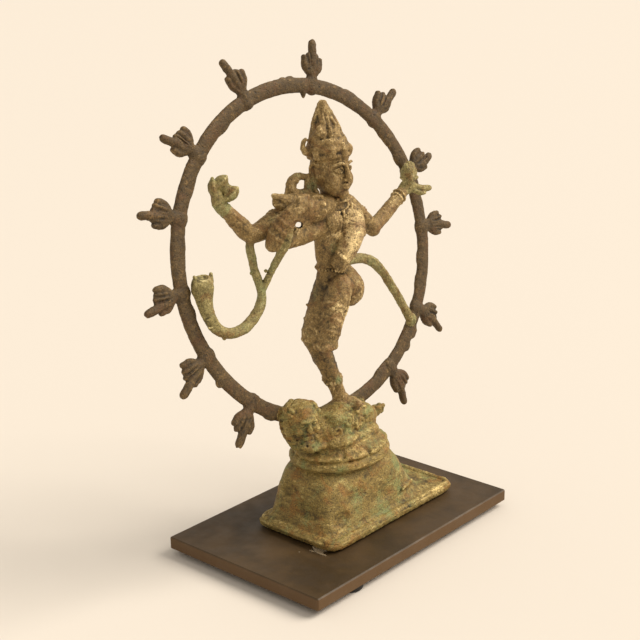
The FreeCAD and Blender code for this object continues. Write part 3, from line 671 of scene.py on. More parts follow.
begin("torso", ["waist_belt", "hips"], 1.4, voxel=0.3)
add(stack([(0.6, 7.4, 128.6, 7.3, 5.6), (0.2, 7.8, 133, 7.7, 5.7), (1.4, 8.4, 139, 9.2, 6.1),
    (4, 9, 146, 11.4, 6.8), (4.8, 9.4, 151, 12.8, 7.2), (4.8, 9.8, 154.6, 11.6, 6.4),
    (4.7, 10, 157.8, 7.4, 5.2), (4.6, 10, 160.6, 4.6, 4.2)], 6))
add([egg(place, (5.2, 2.4, 4.2)) for place in ((-0.8, 3.6, 150.5), (9.6, 4, 150.5))], 1.4)
add(egg((1.6, 3, 134.5), (4.6, 1.9, 4.4)), 1.5)
cut(egg((1.6, 1.2, 134.6), (0.8, 0.9, 0.8)), 0.4)
cut(rod((4.2, 1.9, 153), (2.6, 2.2, 141), 0.5, 0.4), 1.2)
for side in (-1, 1):
    add(egg((4.4 + side * 5, 1.9, 150.2), (0.8, 0.7, 0.8)), 0.3)
for lift, inset, size in [(157, 0, 0.8), (155.2, -0.6, 0.6)]:
    add(cord_loop((4.6, 9.2 + inset, lift), (8.4 - 1.2 * inset, 6.6 - inset), size, (1, 0, 0.12),
        (0, 1, 0.35), beads=True, turns=34), 0.3)
add(rod((4.4, 2.6, 154.4), (4.2, 1.9, 152.4), 1, 0.8), 0.3)
add(tube([(13, 4.4, 156.5, 0.65), (9.5, 2.6, 151, 0.65), (4.6, 1.8, 145, 0.65),
    (-1, 2.2, 138.5, 0.6), (-4.4, 4.2, 133, 0.6)], 6), 0.35)
add(tube([(-2, 17.2, 157, 0.7), (2, 17.4, 150, 0.7), (6, 15.8, 142, 0.65), (5, 14, 134, 0.6)], 6),
    0.35)

begin("standing_leg", ["hips"], 2.4, voxel=0.3, rough=1.1)
add(tube([(0.4, 7, 119.5, 6.2), (-3.2, 6.6, 115.4, 6.9), (-6.5, 6.2, 111, 7),
    (-11.4, 5.7, 104, 6.3), (-15, 5.4, 97.5, 5.6), (-13.2, 5.2, 92.5, 4.8), (-10.5, 4.6, 88, 5),
    (-7.6, 3.5, 81, 4.6), (-5, 2.6, 74, 4), (-3, 1.7, 68, 3.5), (-1.5, 0.8, 63.5, 3.3)]), 0.4)
add(egg((-15.6, 2.2, 97.4), (4.2, 3.8, 4.6)), 1.2)
add(egg((-9.4, 7.4, 86), (3.4, 3.2, 6)), 1.2)
add(cord_loop((-14.4, 5.4, 94), (5.8, 5.6), 0.85, (0.95, 0, -0.3), turns=26), 0.4)
THIGH, KNEE = vec(-5, 6.3, 113), vec(-15, 5.4, 97.5)
for share, lean in ((0.18, 0.3), (0.36, -0.2), (0.54, 0.3), (0.72, -0.1), (0.88, 0.2)):
    spot = THIGH + share * (KNEE - THIGH)
    add(cord_loop(spot, 6.95 - 1.2 * share, 0.42, (0.8, lean, -0.5), (lean * 0.4, 1, 0.2),
        turns=26), 0.6)

begin("standing_foot", ["standing_leg", "dwarf_body", "aureole_ring"], 2.4, voxel=0.3, rough=1.1)
add(tube([(-0.8, 1.4, 62, 2.9), (0.6, -1.8, 60.9, 2.7), (2.2, -5.4, 60.1, 2.3),
    (2.8, -8, 59.8, 1.8)], 4), 0.6)
for i in range(5):
    add(rod((1 + i * 0.9, -7.4 + abs(i - 2) * 0.4, 59.8),
        (1.5 + i * 0.95, -9.8 + abs(i - 2) * 0.5, 59.3), 0.72, 0.6), 0.25)

begin("raised_leg", ["hips", "standing_leg"], 2, voxel=0.3, rough=1.15)
add(tube([(8.5, 7, 121.5, 6.2), (6.6, 3, 120, 6.5), (4.5, -1, 118.4, 6.3)], 4), 0.6)
add(egg((4.2, -1.4, 117.4), (6.9, 6.8, 8.6)), 1)
add(tube([(-3, -2, 120.4, 5.2), (-6.6, -2.2, 114.5, 5.5), (-9.6, -2.4, 108.5, 5.3),
    (-12, -2.7, 102.4, 5.1), (-14.8, -2.9, 96.4, 4.6)]), 1.2)
add(egg((-6, -5.2, 112), (3.4, 3, 5)), 1.4)
for spot, reach in [((-7.9, -2.3, 112), 5.5), ((-10.6, -2.5, 106), 5.3), ((-13, -2.8, 100.4), 5)]:
    add(cord_loop(spot, reach, 0.5, (0.9, 0, -0.42), (0.05, 1, 0), turns=22), 0.8)
add(tube([(-3.4, -7.6, 117, 0.5), (-6.4, -8, 110, 0.6), (-10.8, -7.8, 102.6, 0.5)], 4), 0.7)

begin("raised_foot", ["standing_leg", "raised_leg"], 1.8, voxel=0.3, rough=1.1)
add(rod((-15, -2.9, 96.4), (-16, -3, 94.6), 4.5, 4.2))
add(plate((-16.2, -3.1, 94), (4.7, 4.7, 1.9), 1.5), 1.2)
for i in range(4):
    add(rod((-18.8 + i * 1.7, -6.6, 93.8), (-19.2 + i * 1.8, -7.8, 93.4), 0.85, 0.7))

begin("anklet", ["standing_leg"], 0.9, voxel=0.26, rough=1.2)
add(cord_loop((-4.7, 2.4, 73), 4.5, 1.05, (1, 0.1, 0.36), (-0.1, 1, 0.18), beads=True, turns=16),
    0.2)
add(cord_loop((-4.4, 2.3, 71.6), 4.2, 0.7, (1, 0.1, 0.36), (-0.1, 1, 0.18), turns=22), 0.3)
add(rod((-8.6, 0.2, 71.6), (-8.2, -1.2, 69.4), 1, 0.7), 0.4)

# ---- the head and its ornaments
begin("head", ["torso"], 2, voxel=0.26, rough=0.6)
add(egg((4, 10.6, 174.8), (9.1, 9.8, 12.2)))
add(egg((4, 6.2, 168.6), (7.6, 6, 7.2)), 2)
add(tube([(4.6, 10.2, 157.5, 5), (4.4, 10.2, 161, 4.5), (4.2, 10.6, 165, 4.8)], 4), 1)
for lift in (159.8, 161.6):
    cut(cord_loop((4.4, 10.2, lift), 5.2, 0.3, over=(0, 1, 0.15), turns=22), 0.5)
# A face on classical proportions: eyes half way up the head, nose and mouth by thirds below.
EYES, NOSE, MOUTH, CHIN = 175.2, 171.2, 167.6, 163.4
for side in (-1, 1):
    add(egg((4 + side * 4.8, 4, 169.8), (3.2, 2.9, 3.7)), 1.8)
    cut(egg((4 + side * 3.6, 0.5, EYES), (2.6, 1.3, 1.6)), 0.9)
    add(egg((4 + side * 3.6, 1.8, EYES - 0.1), (2, 1.2, 1.1)), 0.25)
    add(tube([(4 + side * 1.3, 0.9, EYES, 0.28), (4 + side * 3.2, 0.6, EYES + 1.2, 0.36),
        (4 + side * 6.1, 2.2, EYES + 0.3, 0.28)]), 0.25)
    add(tube([(4 + side * 1.4, 0.9, EYES - 0.4, 0.24), (4 + side * 3.3, 0.9, EYES - 1.2, 0.28),
        (4 + side * 5.8, 2.2, EYES - 0.3, 0.24)]), 0.25)
    add(tube([(4 + side * 0.9, 0.3, EYES + 2.2, 0.5), (4 + side * 3.5, 0.4, EYES + 3.4, 0.5),
        (4 + side * 6.9, 2.7, EYES + 2.4, 0.4)]), 0.6)
    add(egg((4 + side * 1.35, -0.3, NOSE - 0.6), (1, 1.2, 0.85)), 0.4)
    cut(egg((4 + side * 0.8, -0.9, NOSE - 1.5), (0.35, 0.5, 0.35)), 0.2)
    add(tube([(4, -0.2, MOUTH + 0.5, 0.6), (4 + side * 1.1, -0.2, MOUTH + 0.75, 0.6),
        (4 + side * 2.9, 1.1, MOUTH + 0.3, 0.3)], 4), 0.3)
    add(tube([(4, -0.1, MOUTH - 0.9, 0.75), (4 + side * 1.2, 0.1, MOUTH - 0.8, 0.65),
        (4 + side * 2.5, 1.1, MOUTH - 0.1, 0.3)], 4), 0.3)
add(tube([(4, 0.6, EYES + 2.4, 0.85), (4, -0.4, EYES - 1, 0.95), (4, -1.6, NOSE - 0.4, 1.25)]), 0.6)
cut(rod((1.8, 0, MOUTH - 0.15), (6.2, 0, MOUTH - 0.15), 0.2), 0.2)
add(egg((4, 2, CHIN), (2.8, 2.4, 2.2)), 1.2)

begin("diadem", ["head"], 1.8, voxel=0.26, rough=0.9)
add(stack([(4, 11.2, 179.6, 9.4, 9.4), (4, 11.4, 181.4, 9.8, 9.8), (4, 11.6, 183.6, 9.8, 9.8),
    (4, 11.9, 185.6, 8.9, 8.9)]), 0.8)
add(cord_loop((4, 11.2, 180.8), 9.4, 0.9, over=(0, 1, -0.1), turns=26), 0.8)
add(cord_loop((4, 11.7, 184.4), 9.3, 1, over=(0, 1, -0.06), turns=30), 1.4)
for degrees, high in [(-90, 187.6), (-52, 185.6), (-128, 186), (188, 187)]:
    c, t = math.cos(math.radians(degrees)), math.sin(math.radians(degrees))
    add(tube([(4 + 9.6 * c, 11.4 + 9.6 * t, 181.8, 1.3), (4 + 9.8 * c, 11.6 + 9.8 * t, 184.2, 1.6),
        (4 + 8.6 * c, 11.8 + 8.6 * t, high, 1)], 4), 0.9)

begin("crown", ["diadem", "head"], 2.2, voxel=0.26, rough=1.1)
add(stack([(4.1, 12, 185, 8.6, 8.6), (4.2, 12.3, 187.5, 8.2, 8.2), (4.3, 12.8, 190.5, 7.3, 7.3),
    (4.4, 13.4, 194, 6.4, 6.4), (4.5, 14, 198.4, 4.6, 4.6), (4.6, 14.6, 202.4, 2.7, 2.7),
    (4.7, 15, 205.6, 1.2, 1.2)], 6))
add(egg((4, 11.8, 187), (9.2, 9.2, 2.6)), 1.6)
seeded = np.random.default_rng(9)
for i in range(15):
    turn, sway = 2 * math.pi * i / 15, seeded.uniform(-0.3, 0.3)
    strand = []
    for rise, reach, thick in ((0.6, 7.9, 1), (4.6, 7, 0.95), (9, 5.7, 0.95), (13.4, 3.9, 0.85),
            (17, 2.1, 0.75), (19.4, 0.9, 0.65)):
        at_turn = turn + sway * math.sin(rise * 0.45)
        strand.append((4.3 + reach * math.cos(at_turn),
            12.1 + rise * 0.15 + reach * math.sin(at_turn), 186 + rise, thick))
    add(tube(strand, 4), 0.7)
add(eggs([((-2.6, 10.8, 192.4), (2.4, 2.4, 3.2)), ((-3.4, 12.8, 188.6), (3, 2.8, 3)),
    ((7.4, 6.8, 189.4), (2.4, 2.4, 2.2)), ((2.2, 6.6, 190.8), (2.4, 2.2, 2.6)),
    ((9.4, 9.8, 188.2), (2.2, 2.4, 2.4)), ((4.4, 19, 190.2), (3.6, 2.8, 3.4))]), 1.4)
add(tube([(-4.4, 9.2, 187.4, 1.3), (-0.8, 5.4, 188.2, 1.5), (4.2, 4.2, 187.4, 1.5),
    (8.8, 6, 188.2, 1.3), (11.2, 9.8, 187.4, 1.1)], 4), 0.9)

begin("crown_hook", ["crown", "diadem"], 1.2, voxel=0.26, rough=1.2)
add(tube([(-4.2, 14.4, 183.4, 1.8), (-7.2, 15.2, 183.2, 1.6), (-8.9, 15.7, 185.2, 1.3),
    (-8.8, 15.8, 187.6, 1.1), (-7.6, 15.6, 189.4, 1)]), 0.4)
add(rod((-4, 14.8, 187.8), (-5.6, 15.2, 188.6), 1.4, 0.9))

for side, name in ((-1, "right_ear"), (1, "left_ear")):
    begin(name, ["head"], 1.2, voxel=0.25, rough=0.9)
    x = 4 + side * 9
    add(tube([(x, 11, 177.4, 0.95), (x + side * 0.5, 12.8, 177.8, 1),
        (x + side * 0.6, 14.2, 175, 0.95), (x + side * 0.4, 13.4, 171.6, 0.9), (x, 12.2, 168.8, 1),
        (x, 12, 165.8, 1.15)], 4), 0.3)
    add(egg((x - side * 0.2, 12, 173.8), (1.1, 2.2, 3.8)))
    cut(egg((x + side * 1.1, 12.2, 174), (0.8, 1, 2.1)), 0.4)
    add(rod((x + side * 0.1, 10.6, 173.2), (x + side * 0.2, 10.9, 171.2), 0.7), 0.4)

begin("right_earring", ["head", "torso", "right_ear"], 1, voxel=0.25, rough=0.9)
add(cord_loop((-5.6, 12, 163.8), (1.9, 2), 1, (0, 1, 0), (0, 0, 1), turns=14), 0.3)
add(egg((-5.8, 11.8, 161.4), (1.3, 1.3, 1.4)), 0.4)

begin("necklace", ["torso", "head"], 0.9, voxel=0.26, rough=0.9)
add(cord_loop((4.6, 9.4, 158.7), (6.6, 6.5), 1.05, over=(0, 1, -0.3), beads=True, turns=22), 0.3)
add(cord_loop((4.6, 9.3, 157.6), (7.2, 7), 0.7, over=(0, 1, -0.3), turns=26), 0.3)

# ---- the four arms
# A small gap is left open between the forearm, the shoulder and the chest.
ARM_GAP = rod((-30.1, 0, 155), (-1.2, 26, 145.6), 1.5)
begin("rear_right_arm", ["torso"], 2.2, voxel=0.3, rough=1.1)
add(tube([(-5, 11, 156.4, 5.1), (-16, 14.5, 156.6, 5.2), (-27.5, 18.8, 152.6, 4.9),
    (-34.4, 21.6, 149.2, 4.4), (-39.6, 23.2, 149.6, 4.2), (-44.4, 24.6, 154.8, 3.9),
    (-51.4, 27, 162.6, 3)]), 0.4)
add(egg((-38, 23.4, 146.8), (2.8, 2.6, 2.4)), 1.2)
add(eggs([((-3, 8.4, 158.8), (7, 5.6, 4.6)), ((-9, 12.4, 160.4), (7, 5.6, 4.6)),
    ((-17.5, 14, 160.6), (6.5, 5, 4.6)), ((-8.5, 7.6, 157.6), (8.5, 4.6, 6)),
    ((-15, 9.8, 157.4), (7, 4.6, 5.4))]), 2)
add(tube([(-13.4, 9.8, 157, 3.2), (-15, 10, 152, 2.6), (-13.6, 10, 148, 3)], 4), 1.2)
# Strands of hair lie over the shoulder from the neck outwards.
seeded = np.random.default_rng(13)
for i in range(9):
    height, droop = 153.4 + i * 1.2, seeded.uniform(-1.2, 1.2)
    strand = []
    for x in (-8.5, -11.5, -15, -19, -23):
        mass_y, mass_z = (7.4, 157.8) if x > -11 else (10.2, 158.6)
        side = min(0.95, abs(height - mass_z) / 6.4)
        strand.append((x, mass_y + (-x - 8) * 0.16 - 4.7 * math.sqrt(1 - side * side),
            height + droop * math.sin(-x * 0.24) - (0.025 * (x + 8) ** 2 if x < -13 else 0), 0.7))
    add(tube(strand, 4), 1.2)
add(cord_loop((-45.2, 24.9, 155.8), 3.9, 0.5, (0.7, -0.2, -0.6), (0, 1, -0.2), turns=18))
add(cord_loop((-48, 25.9, 158.8), 3.5, 0.6, (0.7, -0.2, -0.6), (0, 1, -0.2), turns=14))
cut(ARM_GAP, 1)

begin("rear_right_hand", ["rear_right_arm"], 1.8, voxel=0.26, metal="verdigris_brass")
add(rod((-51.2, 27.1, 162.4), (-53.6, 28.2, 165.8), 2.9, 2.9))
add(egg((-53.8, 28.4, 167.6), (2.9, 2.8, 4.2)), 0.8)
for side, tip in ((0, 176.6), (1.3, 175), (-0.9, 175.6)):
    add(tube([(-54.8 + side * 0.4, 28.4 + side, 168.4, 1.35),
        (-55.4 + side * 0.3, 29.6 + side * 1.1, 172.2, 1.3),
        (-54.6 + side * 0.5, 30.2 + side, tip, 1)], 4), 0.3)
add(tube([(-52.4, 26.2, 166.4, 1.3), (-50.6, 25.4, 168.6, 1.15), (-50, 25.8, 170.6, 0.9)], 4), 0.3)

DRUM_AXIS = unit((0.45, -0.5, -0.74))
DRUM = vec(-49.2, 27.3, 171.6)
DRUM_SIDE = unit(np.cross(DRUM_AXIS, (0, 0, 1)))
DRUM_UP = np.cross(DRUM_AXIS, DRUM_SIDE)
begin("hand_drum", ["rear_right_hand"], 1.2, voxel=0.26, metal="verdigris_brass")
for side in (-1, 1):
    add(rod(DRUM, DRUM + DRUM_AXIS * (side * 2.6), 2.4, 3.2), 0.4)
    rim = DRUM + DRUM_AXIS * (side * 3.6)
    add(egg(rim, (4.3, 4.3, 2.9), (DRUM_SIDE, DRUM_UP, DRUM_AXIS)), 0.4)
    add(cord_loop(rim, 4.1, 0.5, DRUM_SIDE, DRUM_UP, turns=24), 0.6)

begin("armlet", ["rear_right_arm"], 0.9, voxel=0.26)
across = unit((0.1, 0.9, -0.35))
over = unit(np.cross((-11, 4.2, -3.4), across))
add(cord_loop((-25.4, 18, 153.4), 5.3, 0.9, across, over, turns=20), 0.3)
add(cord_loop((-27.2, 18.7, 152.8), 5, 0.6, across, over, turns=22), 0.3)
add(egg((-25, 13.2, 155), (1.5, 1.2, 1.9)), 0.4)

begin("front_right_arm", ["torso", "rear_right_arm"], 2, voxel=0.3, rough=1.1)
add(tube([(-3, 9, 148.6, 4.8), (-12, 9.8, 146.8, 4.6), (-22, 11, 145.6, 4.4),
    (-32.6, 13, 145.4, 4.1)]), 0.4)
add(tube([(-33.4, 13, 144.8, 3.9), (-32.2, 11.6, 149, 4.3), (-30, 10, 153, 4.4),
    (-27.4, 8.2, 157, 3.9), (-24.6, 6.4, 160.4, 3.3)]), 0.6)
add(egg((-34, 14, 143.8), (2.4, 2.4, 2.2)), 1.2)
for spot, reach in [((-32.4, 11.8, 148.4), 4.35), ((-30.8, 10.5, 151.6), 4.5),
        ((-29, 9.3, 154.6), 4.3)]:
    add(cord_loop(spot, reach, 0.6, (0.88, 0.3, -0.36), (-0.1, 0.85, 0.5), turns=20), 0.7)
add(cord_loop((-26, 7.3, 158.6), (3.7, 3.5), 0.65, (0.9, 0.4, -0.2), (-0.1, 0.7, 0.7), turns=14))
cut(ARM_GAP, 1)

begin("front_right_hand", ["front_right_arm", "rear_right_arm"], 1.8, voxel=0.26)
add(egg((-21.6, 5.4, 161.8), (4, 2.7, 3.6)))
for i in range(4):
    root = vec(-24.2 + i * 1.8, 5 - i * 0.1, 162.8)
    add(tube([(*root, 1.2), (*(root + (0.5, 0.4, 1.9)), 1.15),
        (*(root + (1.8, 1.2, 3.2 - abs(i - 1.4) * 0.4)), 0.95)], 3), 0.7)
add(tube([(-19.2, 4, 160.6, 1.4), (-17.2, 3.8, 162, 1.25), (-16.2, 4.4, 163.4, 1)], 3), 0.7)

begin("front_left_arm", ["torso"], 2, voxel=0.3, rough=0.9)
add(tube([(17.6, 9.6, 151.2, 4.8), (15.8, 6, 149.2, 5.1), (12.8, 2.6, 146.2, 5),
    (7.6, -0.3, 142.4, 5.3), (1.6, -1.6, 137, 4.9), (-2.4, -0.6, 131.8, 3.9)]), 0.4)
add(cord_loop((10.6, 1.2, 144.5), 5.25, 0.6, (0.6, 0.1, -0.8), (0.3, -0.95, 0), turns=20), 0.6)
add(cord_loop((-0.9, -1, 134), 4.4, 0.6, (0.8, 0.2, -0.6), (0.2, 0.95, 0.3), turns=18))
for i in range(3):
    add(rod((-4.6 + i * 1.6, -1.6 - i * 0.3, 131 - i * 0.4),
        (-6 + i * 1.7, -1.6 - i * 0.2, 128.4 - i * 0.6), 1, 0.8))

begin("rear_left_arm", ["torso", "front_left_arm"], 2, voxel=0.3)
add(tube([(16, 11, 155.5, 4.7), (22, 11.2, 151.4, 4.4), (29, 11.2, 146, 4.1),
    (35.4, 11.3, 140.8, 3.8), (37.6, 11.4, 139.2, 3.8)]), 0.4)
add(tube([(36.6, 11.4, 139.2, 3.7), (43, 12, 141.4, 3.6), (52, 12.8, 145.4, 3.4),
    (60, 13.8, 149.2, 3.2), (66.4, 14.6, 152.2, 3)]))
add(egg((38.4, 11.6, 137), (3, 3.2, 2.6)), 1.4)
add(cord_loop((26.4, 11.2, 148), 4.4, 0.7, (0.6, 0, 0.75), beads=True, turns=16), 0.3)
for spot in ((60.6, 13.9, 149.5), (63, 14.15, 150.6)):
    add(cord_loop(spot, 3.5, 0.55, (-0.42, 0, 0.9), turns=16), 0.3)

begin("rear_left_hand", ["rear_left_arm", "aureole_ring"], 2, voxel=0.26, metal="verdigris_brass")
add(egg((70.2, 14.2, 154.2), (5.2, 3.6, 3.8)), 0.6)
add(tube([(72.6, 12.6, 153.6, 2), (77, 10, 152.4, 1.75), (80.4, 8.1, 152.6, 1.3)], 4), 0.6)
add(tube([(71.4, 11.6, 152.4, 1.3), (74.4, 9.6, 150.8, 1.2), (77, 8.4, 150.6, 0.9)], 4), 0.4)
add(tube([(68.4, 12.2, 155.4, 1.2), (68.6, 11, 158.2, 1.1), (70, 11.2, 160, 0.8)], 4), 0.4)

begin("flame_bowl", ["rear_left_hand", "aureole_ring"], 1.8, voxel=0.26, metal="verdigris_brass")
add(egg((72, 15.2, 160.8), (4.5, 4.2, 4.7)))
for side, tip in [(-2.4, 166.4), (-0.8, 167.2), (0.8, 166.8), (2.4, 165.8)]:
    add(rod((72 + side, 14.2, 161.4), (72 + side * 1.2, 14.8, tip - 0.9), 1.4, 1), 0.6)
add(cord_loop((72.6, 15.2, 158.4), (4.4, 4), 0.6, turns=18))

# ---- locks, sash and serpent
begin("hair_lock", ["head", "torso", "rear_right_arm", "right_ear"], 1.6, voxel=0.26, rough=1.3)
add(tube([(-7.6, 14.8, 171.6, 1.3), (-9.8, 16.2, 172.2, 1.2), (-12.4, 17, 172.2, 1.5),
    (-14.9, 17.4, 170.8, 2.1), (-16.2, 17.4, 168.6, 2.2), (-16.6, 17, 165.8, 2.4),
    (-14, 16, 164, 2.6), (-10.4, 15, 163.8, 2.3), (-7.8, 13.6, 164.8, 2)]), 0.6)
add(tube([(-7.6, 14.2, 172, 1.3), (-7.6, 14.2, 168.4, 1.6), (-7.8, 13.8, 164.4, 1.8)], 4), 0.6)
add(egg((-14.2, 16.8, 170.6), (1.9, 1.8, 1.6)), 0.7)
add(rod((-17.6, 17.4, 166.4), (-19.6, 17.2, 165.4), 1.4, 1.1), 0.6)

begin("shoulder_tassel", ["rear_right_arm"], 2, voxel=0.26, rough=1.3)
add(tube([(-16, 15, 161.4, 3.9), (-21.4, 15.4, 162.6, 3), (-26, 16, 164.4, 1.9),
    (-29.4, 16.2, 166.4, 1)], 4), 0.6)
add(tube([(-21.4, 15.4, 160.4, 2.8), (-25.8, 16.2, 161, 1.9), (-28, 16.4, 163.4, 1.2)], 4), 0.9)

begin("sash", ["torso", "waist_belt", "hips", "aureole_ring"], 1.8, voxel=0.28,
    metal="verdigris_brass")
add(tube([(7, 7.6, 127.6, 2.4), (19, 7.4, 127.6, 2.5), (30, 7.6, 124.6, 2.45), (40, 8, 117.2, 2.4),
    (49.4, 6.5, 104.4, 2.3), (56.5, 5.2, 93, 2.2), (60, 4.6, 87.6, 2.4)], 6, ((0, 1, 0), 0.88)),
    0.3)
add(egg((61.2, 4.4, 86.2), (3.1, 1.9, 3)), 0.8)
add(rod((60.6, 2.9, 89.4), (62.4, 2.9, 84.4), 0.6), 0.3)
add(tube([(23, 5.4, 128.2, 0.5), (32, 5.8, 124.8, 0.5), (42, 6.1, 115.8, 0.5),
    (51.6, 4.5, 102.6, 0.5)], 6))
add(egg((35.2, 7.2, 123.2), (0.9, 0.9, 0.8)), 0.4)

begin("serpent", ["aureole_ring", "rear_right_arm", "front_right_arm"], 2, voxel=0.28,
    metal="verdigris_brass")
add(tube([(-39.5, 22.6, 143, 2), (-39.2, 21.4, 138, 1.9), (-39, 20.5, 133, 1.95),
    (-37.2, 18, 121.5, 2.1), (-39.4, 17, 115.5, 2.5), (-43.5, 16.6, 111.5, 2.6),
    (-51, 16.4, 107.4, 2.6), (-60, 17, 107.2, 2.6), (-66.4, 18.4, 110.6, 2.7),
    (-69.4, 20, 116.4, 3)], 6), 0.3)
add(tube([(-29.4, 6.8, 150.4, 1.8), (-30.2, 8.6, 144, 1.8), (-31.6, 14.5, 134, 1.6),
    (-36, 17.4, 123.5, 1.75)], 6), 0.6)
add(tube([(-69.6, 20.2, 117, 3.1), (-70.4, 21.6, 123, 3.8), (-70.2, 22.8, 129, 5),
    (-70.2, 23.2, 131.6, 5.3)], 6, (RING_FRONT, 0.72)), 0.8)
cut(plate((-70.2, 23, 140), (9, 9, 4.4), 0.5), 0.5)
cut(egg((-70, 22.4, 136.4), (3.6, 2.6, 2.4)), 0.6)
for side, top in ((-1, 136.4), (1, 135.6)):
    add(rod((-70 + side * 5, 22.6, 132), (-70 + side * 5.2, 22.8, top), 1.2, 0.9), 0.7)
for lift in (112.8, 116.4, 120, 123.6, 127.2):
    add(rod((-72.4, 18.6 + 0.22 * (lift - 118), lift),
        (-67.4, 18.4 + 0.22 * (lift - 118), lift - 0.8), 0.4))
add([egg(place, (0.9, 0.9, 0.9)) for place in ((-35.4, 16.4, 131.6), (-40.6, 20.6, 131),
    (-63, 17.6, 105.4))], 0.4)

# ---- patina
# Where verdigris has settled on the casting, or under 0 has not: (x, y, z, reach, amount).
VERDIGRIS = [(-6.5, 11, 169, 5, 0.9), (-8, 2, 73, 3.4, 0.7), (-5, -2, 73.6, 2.4, 1.3),
    (2, -4, 61, 6, 0.5), (30, -14, 24, 15, 0.5), (0, -18, 12, 16, 0.45), (24, -26, 6, 10, 0.3),
    (48, -6, 6, 14, 0.2), (-30, 0, 46, 7, 0.6), (-4, -8, 46, 9, 0.4), (72, 16, 158, 9, -0.2),
    (47.5, 4, 80, 9, 0.25), (-44, 20, 110, 16, 0.2), (-30, -6, 20, 12, 0.25),
    (-39, 21, 132, 12, 0.25), (-3, 2, 138, 5, 0.5), (8, -2, 116, 5, 0.2), (-52, 27, 168, 9, 0.25)]
# Handled spots rubbed to warm metal, partly painted highlight, in the same terms; under 0, painted
# shade.
WEAR_AND_PAINTED_LIGHT = [(-2, -7, 137, 7, 0.7), (6, -5, 143, 7, 0.6), (-9, -6, 109, 7, 0.8), (3, -8, 115, 6, 0.4),
    (4, 9, 196, 9, 0.15), (-6, 2, 86, 11, -0.8), (-10, 6, 96, 8, -0.5), (-1, 4, 134, 6, -0.6),
    (-8, 8, 118, 9, -0.5), (16, 9, 119, 6, -0.6), (-28, -2, 50, 9, -0.5), (10, 1, 147, 9, 0.4),
    (14, 0, 150, 7, 0.3), (4, -1, 141, 8, 0.4), (-15, 1, 97, 6, 0.5), (4, -6, 105, 7, 0.3),
    (15, -5, 117, 6, 0.35), (4, 6, 205, 6, 0.3), (-4, 2, 150, 7, 0.2), (57, 12, 148, 12, 0.25),
    (-69, 21, 136, 4.5, 0.8), (-2, -8, 41, 14, 0.35), (-26, -6, 60, 6, 0.25),
    (24, -20, 14, 10, 0.2), (40, -22, 4, 18, 0.35), (15, 2, 155, 7, 0.2)]


def spots(points, table):
    """How strongly each point is stained or worn by a table of spots."""
    total = np.zeros(len(points))
    for x, y, z, reach, amount in table:
        gap = ((points - [x, y, z]) ** 2).sum(1) / reach ** 2
        total += amount * np.exp(-gap * 1.4)
    return total


def linear(*screen):
    """A colour given as three screen values over 10, up to 255, in a shader's linear values."""
    return (*(((v / 255 + 0.055) / 1.055) ** 2.4 for v in screen), 1)


class Nodes:
    """Short names for the shader nodes used here."""

    def __init__(self, name):
        self.material = bpy.data.materials.new(name)
        self.material.use_nodes = True
        self.tree = self.material.node_tree
        self.shader = self.tree.nodes["Principled BSDF"]
        self.place = self.new("ShaderNodeTexCoord").outputs["Object"]

    def new(self, kind, **settings):
        item = self.tree.nodes.new(kind)
        for key, value in settings.items():
            setattr(item, key, value)
        return item

    def feed(self, socket, value):
        if isinstance(value, bpy.types.NodeSocket):
            self.tree.links.new(value, socket)
        else:
            socket.default_value = value

    def noise(self, size, detail=3, roughness=0.55, warp=0, squash=(1, 1, 1)):
        """Noise with features of about size mm, drawn out along an axis whose squash is under 1."""
        item = self.new("ShaderNodeTexNoise")
        scaled = self.new("ShaderNodeVectorMath", operation="MULTIPLY")
        self.feed(scaled.inputs[0], self.place)
        self.feed(scaled.inputs[1], squash)
        self.feed(item.inputs["Vector"], scaled.outputs[0])
        settings = {"Scale": 1 / (size * MM), "Detail": detail, "Roughness": roughness,
            "Distortion": warp}
        for key, value in settings.items():
            item.inputs[key].default_value = value
        return item.outputs["Fac"]

    def cells(self, size):
        item = self.new("ShaderNodeTexVoronoi")
        self.feed(item.inputs["Vector"], self.place)
        item.inputs["Scale"].default_value = 1 / (size * MM)
        return item.outputs["Distance"]

    def attribute(self, name):
        return self.new("ShaderNodeAttribute", attribute_name=name).outputs["Fac"]

    def math(self, kind, a, b=0, c=0):
        item = self.new("ShaderNodeMath", operation=kind)
        for socket, value in zip(item.inputs, (a, b, c)):
            self.feed(socket, value)
        return item.outputs[0]

    def total(self, first, *others):
        for other in others:
            first = self.math("ADD", first, other)
        return first

    def centred(self, value, reach):
        """0..1 spread over reach, with its middle at 0."""
        return self.math("MULTIPLY_ADD", value, reach, -reach / 2)

    def ramp(self, value, low, high, start=0, end=1):
        """value from low..high spread smoothly over start..end."""
        item = self.new("ShaderNodeMapRange", interpolation_type="SMOOTHSTEP")
        keys = ("Value", "From Min", "From Max", "To Min", "To Max")
        for key, part in zip(keys, (value, low, high, start, end)):
            self.feed(item.inputs[key], part)
        return item.outputs[0]

    def mix(self, share, a, b, kind="MIX"):
        item = self.new("ShaderNodeMix", data_type="RGBA", blend_type=kind)
        for socket, value in zip((item.inputs["Factor"], item.inputs[6], item.inputs[7]),
                (share, a, b)):
            self.feed(socket, value)
        return item.outputs[2]

    def bump(self, height, distance, strength=1, under=None):
        item = self.new("ShaderNodeBump")
        self.feed(item.inputs["Height"], height)
        item.inputs["Distance"].default_value = distance * MM
        item.inputs["Strength"].default_value = strength
        if under is not None:
            self.feed(item.inputs["Normal"], under)
        return item.outputs[0]

    def finish(self, **values):
        for key, value in values.items():
            self.feed(self.shader.inputs[key.replace("_", " ")], value)
        return self.material


FRESH_VERDIGRIS = linear(124, 156, 112)
SPECK_DARK, SPECK_LIGHT = (0.42, 0.42, 0.42, 1), (1.35, 1.35, 1.35, 1)


